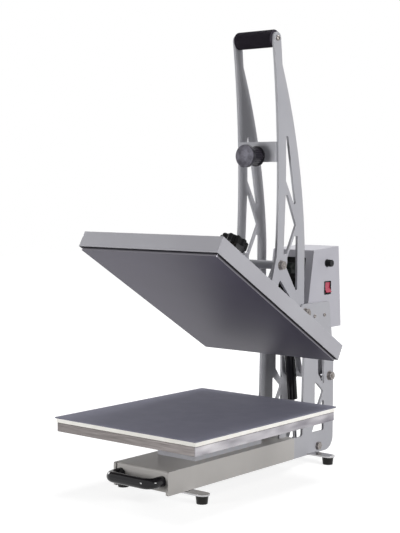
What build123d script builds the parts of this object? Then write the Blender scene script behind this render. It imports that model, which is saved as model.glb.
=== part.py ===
from build123d import *
import math
import os

os.makedirs("parts", exist_ok=True)

# Slide-out heat press, in millimetres. X runs to the operator's right, Y away from the operator and
# Z up from the table. The press is shown open: arm and handle raised, drawer pushed in.

# Overall sizes
press_depth = 737.0
platen_top_height = 163.5
sheet = 1.5
running_gap = 0.3
pin_clearance = 0.1
front_y = -press_depth / 2

# Table feet and foot plates
foot_height = 18.0
foot_top_diameter = 28.0
foot_bottom_diameter = 24.0
foot_spacing_x = 226.0
front_foot_back = 127.0
rear_foot_back = 605.0
foot_plate_thickness = 3.5
foot_plate_width = 44.0
foot_plate_overhang = 17.0

# Frame plates: one L-shaped plate each side, leg and column in one piece
frame_wall = 6.0
leg_front = 100.0
leg_bottom = 18.0
leg_height = 49.0
column_front_foot = 564.0
column_front_top = 571.0
column_rear = 697.0
column_rear_top = 676.0
column_nose = 551.0
column_top_height = 386.5
column_lean_height = 243.0
heel_radius = 33.0
nose_radius = 20.0
opening_radius = 3.0

# Drawer
drawer_wall = 6.0
drawer_side_gap = 5.0
drawer_leg_gap = 2.5
drawer_front = 58.0
drawer_back = 515.0
drawer_foot_gap = 0.5
drawer_top_sheet = 3.0
drawer_front_step = 6.5
drawer_travel = 300.0
pull_tube_diameter = 23.0
pull_span = 118.0
pull_reach = 40.0
pull_height = 51.0
pull_bend = 19.0

# Slides between the legs and the drawer
slide_length = 380.0
slide_front = 112.0
slide_height = 36.0
slide_depth = 12.0
slide_sheet = 1.2
slide_ball_gap = 1.8
slide_web_gap = 0.9
slide_drop = 2.0
bracket_sheet = 3.0

# Lower platen
lower_width = 400.0
lower_depth = 508.0
lower_plate = 19.5
lower_plate_inset = 3.0
lower_corner = 6.0
sponge_thickness = 9.0
sponge_inset = 2.0
pad_thickness = 2.5
riser_width = 108.0
riser_front = 176.0
riser_back = 416.0
riser_wall = 4.0
lug_length = 28.0

# Upper platen, measured square to its own face
cover_side_reveal = 4.0
cover_end_reach = 6.0
cover_height = 36.6
cover_back = 518.6
cover_back_height = 269.2
heat_side_gap = 4.0
heat_end_gap = 4.5
heat_thickness = 20.0
heat_reveal = 5.9
blanket_thickness = 16.0
blanket_inset = 3.0
blanket_gap = 1.0
carrier_size = 96.0
carrier_thickness = 6.0
stud_diameter = 10.0
stud_spacing = 70.0
stud_nut = 5.0
guide_diameter = 8.0
guide_spacing = 58.0
guide_length = 52.0
platen_travel = 8.0
spindle_turns = 4.0

# Linkage pivots, measured from the press's front and from the table
arm_pivot_back = 679.0
arm_pivot_height = 201.5
handle_pivot_back = 572.0
handle_pivot_height = 365.5
knee_back = 480.0
knee_height = 483.5
arm_swing = 30.7
handle_swing = 80.0
pivot_diameter = 16.0
knee_diameter = 20.0
bolt_diameter = 10.0
nut_across = 19.0
nut_thickness = 9.0
washer_thickness = 1.2
thread_proud = 3.0

# Arm
arm_width = 90.0
arm_wall = 6.0
arm_front = 358.0
arm_low = 50.0
arm_high = 92.0
arm_neck_low = 42.0
arm_neck_high = 66.0
hub_radius = 21.0
deck_length = 86.0
deck_thickness = 10.0
deck_low = 60.0
deck_collar = 12.0
magnet_diameter = 50.0
magnet_height = 26.0
magnet_groove = 1.5
link_wall = 6.0
link_gap = 1.5
link_pin_diameter = 14.0
link_boss_radius = 14.0

# Handle
handle_wall = 6.0
handle_gap = 1.0
grip_back = 460.0
grip_height = 1006.5
grip_diameter = 40.0
grip_core_diameter = 22.0
handle_tip_radius = 14.0
cross_plate_low = 723.5
cross_plate_high = 770.5
cross_plate_front = 462.0
cross_plate_thickness = 5.0
armature_height = 737.0
armature_diameter = 53.0
armature_thickness = 10.0
armature_front = 415.0
buffer_diameter = 42.0
buffer_ribs = 24
buffer_rib = 1.3
buffer_flange = 3.0

# Pressure knob and spindle
spindle_diameter = 16.0
knob_centre_height = 158.0
knob_thickness = 19.0
knob_diameter = 68.0
knob_lobes = 10
knob_lobe_radius = 7.0
knob_edge = 2.5

# Gas spring
spring_body_diameter = 25.0
spring_rod_diameter = 10.0
spring_upper_back = 601.0
spring_upper_height = 280.0
spring_lower_back = 630.0
spring_lower_height = 34.5
spring_body_length = 136.0
spring_eye_radius = 10.0
spring_eye_width = 14.0
spring_pin_diameter = 8.0
spring_bolt_diameter = 10.0
spring_lower_clearance = 2.4
spring_wall = 2.5
spring_gland = 14.0
spring_eye_wall = 4.5

# Control box
box_front_bottom = 581.0
box_front_top = 616.0
box_rear_lean = 13.0
box_bottom_height = 320.0
box_top_height = 513.5
box_rear_top_height = 520.0
display_width = 78.0
display_low = 74.0
display_high = 178.0
display_thickness = 4.0
panel_proud = 0.6
panel_gap = 0.2
button_diameter = 9.0
button_travel = 1.5
button_proud = 2.0
button_pitch = 19.0
button_row = 22.0
switch_back = 675.0
switch_height = 419.0
switch_width = 28.0
switch_tall = 33.0
switch_tilt = 12.0
switch_rim = 2.7
switch_flange = 2.0
switch_depth = 20.0
fuse_back = 672.0
fuse_height = 480.0
fuse_diameter = 17.0
fuse_reach = 13.0
fuse_wall = 1.0
fuse_rib = 1.0
fuse_ribs = 12
fuse_slot = 1.6
box_screw_diameter = 5.0
box_screw_bite = 5.0
box_screw_head = 3.0

# Sizes that follow from these
arm_half = arm_width / 2
arm_inner = arm_half - arm_wall
link_left = arm_half + link_gap
handle_inner = link_left + link_wall + handle_gap
handle_half = handle_inner + handle_wall
handle_width = 2 * handle_half
frame_inner = handle_half + handle_gap
frame_half = frame_inner + frame_wall
frame_width = 2 * frame_half
foot_plate_top = foot_height + foot_plate_thickness
leg_top = leg_bottom + leg_height
slide_centre_height = leg_top - slide_drop - slide_height / 2
drawer_bottom_height = foot_plate_top + drawer_foot_gap
drawer_inner = frame_half + drawer_side_gap
drawer_half = drawer_inner + drawer_wall
sheet_low = leg_top + drawer_leg_gap
drawer_top = sheet_low + drawer_top_sheet
sponge_top = platen_top_height - pad_thickness
plate_top = sponge_top - sponge_thickness
plate_low = plate_top - lower_plate
cover_width = lower_width - 2 * cover_side_reveal
cover_depth = lower_depth + 2 * cover_end_reach
heat_width = cover_width - 2 * sheet - 2 * heat_side_gap
heat_depth = cover_depth - 2 * sheet - 2 * heat_end_gap
spindle_forward = cover_depth / 2
tilt = math.radians(arm_swing)


def save(piece, name):
    """Labels a finished piece and writes it."""
    piece.part.label = name
    export_step(piece.part, f"parts/{name}.step")


def side(x):
    """Upright plane across the press: local x is the distance back from the front, local y the height."""
    return Plane(origin=(x, front_y, 0), x_dir=(0, 1, 0), z_dir=(1, 0, 0))


def level(height):
    """Flat plane at a height: local x is to the right, local y the distance back from the front."""
    return Plane(origin=(0, front_y, height), x_dir=(1, 0, 0), z_dir=(0, 0, 1))


def facing_front(back):
    """Upright plane that faces the operator: local x is to the right, local y the height."""
    return Plane(origin=(0, front_y + back, 0), x_dir=(1, 0, 0), z_dir=(0, -1, 0))


def arm_side(x):
    """Side plane that tilts with the arm: local x is forward from the cover's back, local y outward."""
    return Plane(
        origin=(x, front_y + cover_back, cover_back_height),
        x_dir=(0, -math.cos(tilt), math.sin(tilt)),
        z_dir=(-1, 0, 0),
    )


def deck(outward, forward=spindle_forward):
    """Plane parallel to the platen: local x is to the right, local y towards the cover's back."""
    return Plane(
        origin=arm_side(0).from_local_coords((forward, outward, 0)),
        x_dir=(1, 0, 0),
        z_dir=(0, math.sin(tilt), math.cos(tilt)),
    )


def on_arm(back, height):
    """The arm's own forward and outward distances of a point given by its place in the press."""
    local = arm_side(0).to_local_coords(Vector(0, front_y + back, height))
    return local.X, local.Y


def turned(point, pivot, degrees):
    """A point of the side view, turned about a pivot as the handle and arm turn when they close."""
    angle = math.radians(degrees)
    back, height = point[0] - pivot[0], point[1] - pivot[1]
    return (
        pivot[0] + back * math.cos(angle) - height * math.sin(angle),
        pivot[1] + back * math.sin(angle) + height * math.cos(angle),
    )


def cut_opening(corners, radius):
    """Cuts a rounded polygon out of the sketch in hand."""
    with BuildLine(mode=Mode.PRIVATE) as edge:
        FilletPolyline(*corners, radius=radius, close=True)
    make_face(edge.edges(), mode=Mode.SUBTRACT)


# Toggle linkage: the handle's knee, the link and the arm's pin are in line when the press is closed
arm_pivot = (arm_pivot_back, arm_pivot_height)
handle_pivot = (handle_pivot_back, handle_pivot_height)
knee = (knee_back, knee_height)
knee_closed = turned(knee, handle_pivot, handle_swing)
knee_arm = math.dist(knee, handle_pivot)
reach_direction = (
    (knee_closed[0] - handle_pivot[0]) / knee_arm,
    (knee_closed[1] - handle_pivot[1]) / knee_arm,
)
opened_knee = turned(knee_closed, arm_pivot, -arm_swing)
opened_direction = turned(reach_direction, (0, 0), -arm_swing)
knee_shift = (opened_knee[0] - knee[0], opened_knee[1] - knee[1])
shift_squared = knee_shift[0] ** 2 + knee_shift[1] ** 2
shift_along = knee_shift[0] * opened_direction[0] + knee_shift[1] * opened_direction[1]
link_length = -shift_squared / (2 * shift_along)
link_pin = (
    opened_knee[0] + link_length * opened_direction[0],
    opened_knee[1] + link_length * opened_direction[1],
)
print("toggle link", round(link_length, 2), "pin at", [round(v, 2) for v in link_pin])
pin_forward, pin_outward = on_arm(*link_pin)
pivot_forward, pivot_outward = on_arm(*arm_pivot)
spring_forward, spring_outward = on_arm(spring_upper_back, spring_upper_height)

# Frame plates, cut from plate with triangular openings in the column
stile_rear = column_rear - 41
stile_front = column_front_foot + 52
column_openings = (
    (
        (stile_front + 13, arm_pivot_height + 60),
        (stile_rear, arm_pivot_height + 60),
        (stile_rear, arm_pivot_height - 16),
        (stile_rear - 6, arm_pivot_height - 16),
        (stile_front + 13, arm_pivot_height + 11),
    ),
    (
        (stile_front, arm_pivot_height - 11),
        (stile_front + 8, arm_pivot_height - 11),
        (stile_rear - 5, arm_pivot_height - 33),
        (stile_rear - 5, arm_pivot_height - 39),
        (stile_front, leg_top + 37),
    ),
    (
        (stile_rear - 8, leg_top + 76),
        (stile_rear, leg_top + 76),
        (stile_rear, leg_top + 2),
        (stile_front - 10, leg_top + 2),
        (stile_front - 10, leg_top + 7),
    ),
)
frame_outline = (
    (leg_front, leg_bottom),
    (column_rear, leg_bottom),
    (column_rear, column_lean_height),
    (column_rear_top, column_top_height),
    (column_nose, column_top_height),
    (column_nose, column_top_height - 2 * nose_radius),
    (column_front_top, column_top_height - 3.4 * nose_radius),
    (column_front_foot, leg_top),
    (leg_front, leg_top),
)
frame_corners = (8, heel_radius, 60, 8, nose_radius - 1, nose_radius - 2, 12, 7, 8)
box_screw_places = ((stile_front - 4, 354), (stile_rear - 2, 354))
foot_places = ((front_foot_back, leg_bottom), (rear_foot_back, leg_bottom))
for hand, x in (("left", -frame_half), ("right", frame_inner)):
    with BuildPart() as frame_plate:
        with BuildSketch(side(x)):
            with BuildLine():
                FilletPolyline(*frame_outline, radius=frame_corners, close=True)
            make_face()
            for corners in column_openings:
                cut_opening(corners, opening_radius)
            with Locations(arm_pivot, handle_pivot):
                Circle(pivot_diameter / 2, mode=Mode.SUBTRACT)
            with Locations(*box_screw_places):
                Circle(box_screw_diameter / 2, mode=Mode.SUBTRACT)
            with Locations((spring_lower_back, spring_lower_height)):
                Circle(spring_bolt_diameter / 2, mode=Mode.SUBTRACT)
            with Locations(*foot_places):
                Rectangle(foot_plate_width, 2 * (foot_plate_top - leg_bottom), mode=Mode.SUBTRACT)
        extrude(amount=frame_wall)
    save(frame_plate, f"frame_plate_{hand}")

# Foot plates let into the legs, with rounded ends that carry the feet and a tie block between the legs
tie_gap = 1.0
tie_depth = 20.0
tie_height = slide_centre_height - slide_height / 2 - tie_gap - foot_plate_top
with BuildPart() as foot_plates:
    with BuildSketch(level(foot_height)):
        with Locations((0, front_foot_back), (0, rear_foot_back)):
            SlotOverall(foot_spacing_x + 2 * foot_plate_overhang, foot_plate_width * 0.7)
            Rectangle(frame_width, foot_plate_width)
    extrude(amount=foot_plate_thickness)
    with BuildSketch(level(foot_plate_top)):
        with Locations((0, front_foot_back), (0, rear_foot_back)):
            Rectangle(2 * frame_inner, tie_depth)
    extrude(amount=tie_height)
save(foot_plates, "foot_plates")

with BuildPart() as rubber_feet:
    for back in (front_foot_back, rear_foot_back):
        for x in (-foot_spacing_x / 2, foot_spacing_x / 2):
            with BuildSketch(level(0)):
                with Locations((x, back)):
                    Circle(foot_bottom_diameter / 2)
            with BuildSketch(level(foot_height)):
                with Locations((x, back)):
                    Circle(foot_top_diameter / 2)
            loft()
save(rubber_feet, "rubber_feet")

# Pivot shafts of the arm and of the handle, across the frame
with BuildPart() as pivot_shafts:
    with BuildSketch(side(-frame_half)):
        with Locations(arm_pivot, handle_pivot):
            Circle(pivot_diameter / 2)
    extrude(amount=frame_width)
save(pivot_shafts, "pivot_shafts")

# Cross bolt low in the legs, which carries the gas spring between two spacer tubes
spring_foot = (spring_lower_back, spring_lower_height)
with BuildPart() as spring_bolt:
    with BuildSketch(side(-frame_half)):
        with Locations(spring_foot):
            Circle(spring_bolt_diameter / 2)
    extrude(amount=frame_width)
    for x, way in ((frame_half, 1), (-frame_half, -1)):
        with BuildSketch(side(x)):
            with Locations(spring_foot):
                RegularPolygon(spring_bolt_diameter * 0.85, 6, major_radius=False)
        extrude(amount=way * spring_bolt_diameter * 0.7)
save(spring_bolt, "spring_bolt")

# Nuts on the pivot shafts and the screws that hold the control box
with BuildPart() as frame_fasteners:
    for x, way in ((frame_half, 1), (-frame_half, -1)):
        with BuildSketch(side(x)):
            with Locations(arm_pivot, handle_pivot):
                Circle(nut_across * 0.62)
        extrude(amount=way * washer_thickness)
        with BuildSketch(side(x + way * washer_thickness)):
            with Locations(arm_pivot, handle_pivot):
                RegularPolygon(nut_across / 2, 6, major_radius=False)
        extrude(amount=way * nut_thickness)
        with BuildSketch(side(x + way * (washer_thickness + nut_thickness))):
            with Locations(arm_pivot, handle_pivot):
                Circle(bolt_diameter * 0.45)
        extrude(amount=way * thread_proud)
        with BuildSketch(side(x)):
            with Locations(*box_screw_places):
                Circle(box_screw_diameter / 2)
        extrude(amount=-way * (frame_wall + sheet + box_screw_bite))
        with BuildSketch(side(x)):
            with Locations(*box_screw_places):
                Circle(box_screw_diameter * 0.9)
        extrude(amount=way * box_screw_head)
save(frame_fasteners, "frame_fasteners")

# Spacers on the arm's shaft and on the cross bolt: beside the arm and the spring's lower eye
spring_eye_half = spring_eye_width / 2
spacer_wall = 4.0
with BuildPart() as pivot_spacers:
    for place, inner_end, bore in (
        (arm_pivot, arm_half + running_gap, pivot_diameter),
        (spring_foot, spring_eye_half + running_gap, spring_bolt_diameter),
    ):
        for x, way in ((frame_inner, -1), (-frame_inner, 1)):
            with BuildSketch(side(x)):
                with Locations(place):
                    Circle(bore / 2 + spacer_wall)
                    Circle(bore / 2, mode=Mode.SUBTRACT)
            extrude(amount=way * (frame_inner - inner_end))
save(pivot_spacers, "pivot_spacers")

# Drawer slides: outer rails on the legs, middle rails at half travel, inner rails on the drawer
half_slide = slide_height / 2
middle_half = half_slide - slide_sheet - slide_ball_gap
inner_half = middle_half - slide_sheet - slide_ball_gap


def rail(web_x, tip_x, half_height):
    """Channel rail on one side: web at web_x, flanges that reach to tip_x."""
    way = 1 if tip_x > web_x else -1
    with BuildPart() as channel:
        with BuildSketch(facing_front(slide_front)):
            with BuildLine():
                Polyline(
                    (tip_x, slide_centre_height + half_height),
                    (web_x, slide_centre_height + half_height),
                    (web_x, slide_centre_height - half_height),
                    (tip_x, slide_centre_height - half_height),
                    (tip_x, slide_centre_height - half_height + slide_sheet),
                    (web_x + way * slide_sheet, slide_centre_height - half_height + slide_sheet),
                    (web_x + way * slide_sheet, slide_centre_height + half_height - slide_sheet),
                    (tip_x, slide_centre_height + half_height - slide_sheet),
                    close=True,
                )
            make_face()
        extrude(amount=-slide_length)
    return channel.part


rail_tip = frame_inner - slide_depth + 1
outer_web = frame_inner
middle_web = outer_web - slide_sheet - slide_web_gap
inner_web = rail_tip - 1.5
inner_tip = middle_web - slide_sheet - slide_web_gap
with BuildPart() as outer_rails:
    add(rail(outer_web, rail_tip, half_slide))
    add(rail(-outer_web, -rail_tip, half_slide))
save(outer_rails, "outer_rails")

with BuildPart() as inner_rails:
    add(rail(inner_web, inner_tip, inner_half))
    add(rail(-inner_web, -inner_tip, inner_half))
save(inner_rails, "inner_rails")

# Middle rails, with ball cages between the rails: outside the middle rail at the rear, inside it at the front
cage_height = slide_ball_gap - running_gap
cage_width = 4.0
cage_length = 150.0
cage_x = rail_tip + 1 + cage_width / 2
with BuildPart() as middle_rails:
    add(rail(middle_web, rail_tip, middle_half))
    add(rail(-middle_web, -rail_tip, middle_half))
    for x in (-cage_x, cage_x):
        for way in (-1, 1):
            for start, height in (
                (slide_front + slide_length - cage_length - 20, middle_half),
                (slide_front + 20, middle_half - slide_sheet - cage_height),
            ):
                low = slide_centre_height + (height if way > 0 else -height - cage_height)
                with BuildSketch(level(low)):
                    with Locations((x, start + cage_length / 2)):
                        Rectangle(cage_width, cage_length)
                extrude(amount=cage_height)
save(middle_rails, "middle_rails")

with BuildPart() as slide_brackets:
    for way in (-1, 1):
        with BuildSketch(facing_front(slide_front)):
            with BuildLine():
                Polyline(
                    (way * inner_web, sheet_low),
                    (way * inner_web, slide_centre_height - inner_half),
                    (way * (inner_web - bracket_sheet), slide_centre_height - inner_half),
                    (way * (inner_web - bracket_sheet), sheet_low - bracket_sheet),
                    (way * (inner_web - 18), sheet_low - bracket_sheet),
                    (way * (inner_web - 18), sheet_low),
                    close=True,
                )
            make_face()
        extrude(amount=-slide_length)
save(slide_brackets, "slide_brackets")

# Drawer: two side plates, and a sheet folded down at the front between them
for hand, x in (("left", -drawer_half), ("right", drawer_inner)):
    with BuildPart() as drawer_side:
        with BuildSketch(side(x)):
            with BuildLine():
                FilletPolyline(
                    (drawer_front, drawer_bottom_height),
                    (drawer_back, drawer_bottom_height),
                    (drawer_back, drawer_top),
                    (drawer_front, drawer_top),
                    radius=(3, 6, 6, 4),
                    close=True,
                )
            make_face()
        extrude(amount=drawer_wall)
    save(drawer_side, f"drawer_side_{hand}")

panel_front = drawer_front + 3.5
panel_low = drawer_bottom_height + drawer_front_step
with BuildPart() as drawer_cover:
    with BuildSketch(side(-drawer_inner)):
        with BuildLine():
            FilletPolyline(
                (panel_front, panel_low),
                (panel_front, drawer_top),
                (drawer_back, drawer_top),
                (drawer_back, sheet_low),
                (panel_front + drawer_top_sheet, sheet_low),
                (panel_front + drawer_top_sheet, panel_low),
                radius=(0, 5, 0, 0, 2, 0),
                close=True,
            )
        make_face()
    extrude(amount=2 * drawer_inner)
save(drawer_cover, "drawer_cover")

# Pull handle: a bent bar across the drawer's front
pull_half = pull_span / 2
with BuildPart() as pull_handle:
    with BuildLine(Plane.XY.offset(pull_height)):
        FilletPolyline(
            (-pull_half, front_y + panel_front),
            (-pull_half, front_y + panel_front - pull_reach),
            (pull_half, front_y + panel_front - pull_reach),
            (pull_half, front_y + panel_front),
            radius=pull_bend,
        )
    with BuildSketch(Plane(origin=(-pull_half, front_y + panel_front, pull_height), z_dir=(0, -1, 0))):
        Circle(pull_tube_diameter / 2)
    sweep()
save(pull_handle, "pull_handle")

# Lower platen on a folded riser, open at the back, and on two lugs at the drawer's rear
platen_middle = lower_depth / 2
riser_middle = (riser_front + riser_back) / 2
with BuildPart() as standoffs:
    with BuildSketch(level(drawer_top)):
        with Locations((0, riser_middle)):
            Rectangle(riser_width, riser_back - riser_front)
        with Locations((0, riser_middle + riser_wall)):
            Rectangle(riser_width - 2 * riser_wall, riser_back - riser_front, mode=Mode.SUBTRACT)
        with Locations((0, drawer_back - lug_length / 2)):
            with GridLocations(riser_width - riser_wall, 1, 2, 1):
                Rectangle(riser_wall, lug_length)
    extrude(amount=plate_low - drawer_top)
    with BuildSketch(level(plate_low - riser_wall)):
        with Locations((0, riser_middle)):
            Rectangle(riser_width, riser_back - riser_front)
    extrude(amount=riser_wall)
save(standoffs, "standoffs")

with BuildPart() as lower_platen:
    with BuildSketch(level(plate_low)):
        with Locations((0, platen_middle)):
            RectangleRounded(
                lower_width - 2 * lower_plate_inset, lower_depth - 2 * lower_plate_inset, lower_corner
            )
    extrude(amount=lower_plate)
    chamfer(lower_platen.faces().sort_by(Axis.Z)[-1].edges(), length=1.2)
save(lower_platen, "lower_platen")

with BuildPart() as silicone_sponge:
    with BuildSketch(level(plate_top)):
        with Locations((0, platen_middle)):
            RectangleRounded(
                lower_width - 2 * sponge_inset, lower_depth - 2 * sponge_inset, lower_corner
            )
    extrude(amount=sponge_thickness)
save(silicone_sponge, "silicone_sponge")

with BuildPart() as top_pad:
    with BuildSketch(level(sponge_top)):
        with Locations((0, platen_middle)):
            RectangleRounded(lower_width, lower_depth, lower_corner)
    extrude(amount=pad_thickness)
save(top_pad, "top_pad")

# Arm plates: from a hub on the pivot shaft, over the back of the platen and out to the magnet
arm_outline = (
    (pivot_forward - hub_radius, pivot_outward - hub_radius),
    (pivot_forward - hub_radius, pivot_outward + hub_radius),
    (pivot_forward + 60, arm_neck_high),
    (-25, arm_neck_high + 2),
    (38, arm_high),
    (arm_front, arm_high),
    (arm_front, arm_low),
    (10, arm_low),
    (-20, arm_neck_low),
    (pivot_forward + 54, arm_neck_low),
    (pivot_forward + 22, pivot_outward - 8),
)
arm_corners = (hub_radius - 3, hub_radius - 3, 40, 40, 30, 16, 10, 30, 30, 24, 30)
for hand, x in (("left", -arm_inner), ("right", arm_half)):
    with BuildPart() as arm_plate:
        with BuildSketch(arm_side(x)):
            with BuildLine():
                FilletPolyline(*arm_outline, radius=arm_corners, close=True)
            make_face()
            with Locations((pivot_forward, pivot_outward)):
                Circle(pivot_diameter / 2 + pin_clearance, mode=Mode.SUBTRACT)
            with Locations((pin_forward, pin_outward)):
                Circle(link_pin_diameter / 2, mode=Mode.SUBTRACT)
            with Locations((spring_forward, spring_outward)):
                Circle(spring_pin_diameter / 2, mode=Mode.SUBTRACT)
        extrude(amount=arm_wall)
    save(arm_plate, f"arm_plate_{hand}")


def arm_round(x, length, centre, outer, inner=0.0):
    """Round bar or tube along X on the arm, from x towards the left."""
    with BuildPart() as bar:
        with BuildSketch(arm_side(x)):
            with Locations(centre):
                Circle(outer / 2)
                if inner > 0:
                    Circle(inner / 2, mode=Mode.SUBTRACT)
        extrude(amount=length)
    return bar.part


with BuildPart() as spindle_deck:
    with BuildSketch(deck(deck_low)):
        Rectangle(2 * arm_inner, deck_length)
        Circle(spindle_diameter / 2 + pin_clearance, mode=Mode.SUBTRACT)
        with GridLocations(1, guide_spacing, 1, 2):
            Circle(guide_diameter / 2 + pin_clearance, mode=Mode.SUBTRACT)
    extrude(amount=deck_thickness)
    with BuildSketch(deck(deck_low + deck_thickness)):
        Circle(spindle_diameter)
        Circle(spindle_diameter / 2 + pin_clearance, mode=Mode.SUBTRACT)
    extrude(amount=deck_collar)
save(spindle_deck, "spindle_deck")

# Pins in the arm: stubs for the toggle links, and a collared pin for the gas spring's upper eye
spring_eye_centre = (spring_forward, spring_outward)
stub_proud = 1.0
stub_bite = 3.0
pin_head = 2.0
spring_collar = spring_pin_diameter * 1.7
collar_length = arm_inner - spring_eye_half - running_gap
with BuildPart() as arm_pins:
    for x in (arm_half + stub_proud, -arm_inner + stub_bite):
        add(
            arm_round(
                x, arm_wall + stub_bite + stub_proud, (pin_forward, pin_outward), link_pin_diameter
            )
        )
    add(
        arm_round(
            arm_half + pin_head, arm_width + 2 * pin_head, spring_eye_centre, spring_pin_diameter
        )
    )
    for x in (arm_inner, -spring_eye_half - running_gap):
        add(arm_round(x, collar_length, spring_eye_centre, spring_collar))
save(arm_pins, "arm_pins")

# Magnet on a seat that is set square to the armature of the closed handle
magnet_lean = math.radians(90 - handle_swing)
disc_closed = turned((armature_front, armature_height), handle_pivot, handle_swing)
disc_place = on_arm(*turned(disc_closed, arm_pivot, -arm_swing))
magnet_face = (
    disc_place[0] + running_gap * math.sin(magnet_lean),
    disc_place[1] - running_gap * math.cos(magnet_lean),
)
magnet_normal = (-math.sin(magnet_lean), math.cos(magnet_lean))
print("magnet face", [round(v, 2) for v in magnet_face])


def on_magnet(depth):
    """Plane parallel to the magnet's face, at a depth below it."""
    forward = magnet_face[0] - depth * magnet_normal[0]
    outward = magnet_face[1] - depth * magnet_normal[1]
    start = arm_side(0).from_local_coords((0, 0, 0))
    end = arm_side(0).from_local_coords((magnet_normal[0], magnet_normal[1], 0))
    return Plane(
        origin=arm_side(0).from_local_coords((forward, outward, 0)), x_dir=(1, 0, 0), z_dir=end - start
    )


with BuildPart() as electromagnet:
    with BuildSketch(on_magnet(magnet_height)):
        Circle(magnet_diameter / 2)
    extrude(amount=magnet_height)
    with BuildSketch(on_magnet(0)):
        Circle(magnet_diameter * 0.42)
        Circle(magnet_diameter * 0.24, mode=Mode.SUBTRACT)
    extrude(amount=-magnet_groove, mode=Mode.SUBTRACT)
save(electromagnet, "electromagnet")

# Members welded between the arm plates: hub tube, the magnet's seat, and a bridge with a fork of two
# tapered leaves that straddle the gas spring
hub_centre = (pivot_forward, pivot_outward)
hub_diameter = 24.0
bridge_depth = 8.0
bridge_height = 12.0
fork_head = spring_eye_radius + 3.0
fork_wall = 3.0
fork_inner = spring_body_diameter / 2 + 0.8
fork_tip = on_arm(630.5, 213)
fork_tip_radius = 6.0
bridge_ahead = spring_eye_radius + 1 + bridge_depth / 2
seat_thickness = 8.0
seat_depth = magnet_diameter * 0.9
with BuildPart() as arm_crossbars:
    add(
        arm_round(
            arm_inner, 2 * arm_inner, hub_centre, hub_diameter, pivot_diameter + 2 * pin_clearance
        )
    )
    with BuildSketch(arm_side(arm_inner)):
        with Locations((spring_forward + bridge_ahead, spring_outward + 5)):
            Rectangle(bridge_depth, bridge_height)
    extrude(amount=2 * arm_inner)
    for x in (fork_inner + fork_wall, -fork_inner):
        with BuildSketch(arm_side(x)):
            with Locations(spring_eye_centre):
                Circle(fork_head)
            with Locations(fork_tip):
                Circle(fork_tip_radius)
            make_hull()
            with Locations(spring_eye_centre):
                Circle(spring_collar / 2 + pin_clearance, mode=Mode.SUBTRACT)
        extrude(amount=fork_wall)
    with BuildSketch(on_magnet(magnet_height + seat_thickness)):
        Rectangle(2 * arm_inner, seat_depth)
    extrude(amount=seat_thickness)
save(arm_crossbars, "arm_crossbars")

# Upper platen: steel cover with the heat plate inside it, open underneath
with BuildPart() as platen_cover:
    with BuildSketch(deck(0)):
        RectangleRounded(cover_width, cover_depth, 2)
    extrude(amount=cover_height)
    with BuildSketch(deck(0)):
        Rectangle(cover_width - 2 * sheet, cover_depth - 2 * sheet)
    extrude(amount=cover_height - sheet, mode=Mode.SUBTRACT)
    with BuildSketch(deck(cover_height - sheet)):
        with GridLocations(stud_spacing, stud_spacing, 2, 2):
            Circle(stud_diameter * 0.3)
    extrude(amount=sheet, mode=Mode.SUBTRACT)
save(platen_cover, "platen_cover")

with BuildPart() as heat_plate:
    with BuildSketch(deck(-heat_reveal)):
        RectangleRounded(heat_width, heat_depth, 4)
    extrude(amount=heat_thickness)
save(heat_plate, "heat_plate")

heat_top = heat_thickness - heat_reveal
with BuildPart() as insulation_blanket:
    with BuildSketch(deck(heat_top)):
        Rectangle(heat_width - 2 * blanket_inset, heat_depth - 2 * blanket_inset)
        with GridLocations(stud_spacing, stud_spacing, 2, 2):
            Circle(stud_diameter / 2 + blanket_gap, mode=Mode.SUBTRACT)
    extrude(amount=blanket_thickness)
save(insulation_blanket, "insulation_blanket")

boss_height = 13.0
carrier_top = cover_height + carrier_thickness
with BuildPart() as platen_carrier:
    with BuildSketch(deck(cover_height)):
        RectangleRounded(carrier_size, carrier_size, 8)
        with GridLocations(stud_spacing, stud_spacing, 2, 2):
            Circle(stud_diameter * 0.3, mode=Mode.SUBTRACT)
    extrude(amount=carrier_thickness)
    with BuildSketch(deck(carrier_top)):
        Circle(spindle_diameter)
        Circle(spindle_diameter / 2 + pin_clearance, mode=Mode.SUBTRACT)
    extrude(amount=boss_height)
save(platen_carrier, "platen_carrier")

with BuildPart() as platen_studs:
    with BuildSketch(deck(heat_top)):
        with GridLocations(stud_spacing, stud_spacing, 2, 2):
            Circle(stud_diameter / 2)
    extrude(amount=cover_height - sheet - heat_top)
    with BuildSketch(deck(cover_height - sheet)):
        with GridLocations(stud_spacing, stud_spacing, 2, 2):
            Circle(stud_diameter * 0.3)
    extrude(amount=sheet + carrier_thickness)
    with BuildSketch(deck(carrier_top)):
        with GridLocations(stud_spacing, stud_spacing, 2, 2):
            RegularPolygon(stud_diameter * 0.55, 6)
    extrude(amount=stud_nut)
save(platen_studs, "platen_studs")

with BuildPart() as guide_rods:
    with BuildSketch(deck(carrier_top)):
        with GridLocations(1, guide_spacing, 1, 2):
            Circle(guide_diameter / 2)
    extrude(amount=guide_length)
save(guide_rods, "guide_rods")

# Pressure spindle and its lobed knob
knob_low = knob_centre_height - knob_thickness / 2
with BuildPart() as pressure_spindle:
    with BuildSketch(deck(carrier_top + running_gap)):
        Circle(spindle_diameter / 2)
    extrude(amount=knob_low - carrier_top - running_gap)
save(pressure_spindle, "pressure_spindle")

lobe_ring = knob_diameter / 2 - knob_lobe_radius
with BuildPart() as pressure_knob:
    with BuildSketch(deck(knob_low)):
        Circle(lobe_ring + knob_lobe_radius * 0.35)
        with PolarLocations(lobe_ring, knob_lobes):
            Circle(knob_lobe_radius)
    extrude(amount=knob_thickness)
    knob_top = pressure_knob.faces().sort_by(Axis(deck(0).origin, deck(0).z_dir))[-1]
    chamfer(knob_top.edges(), length=knob_edge)
save(pressure_knob, "pressure_knob")

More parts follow.
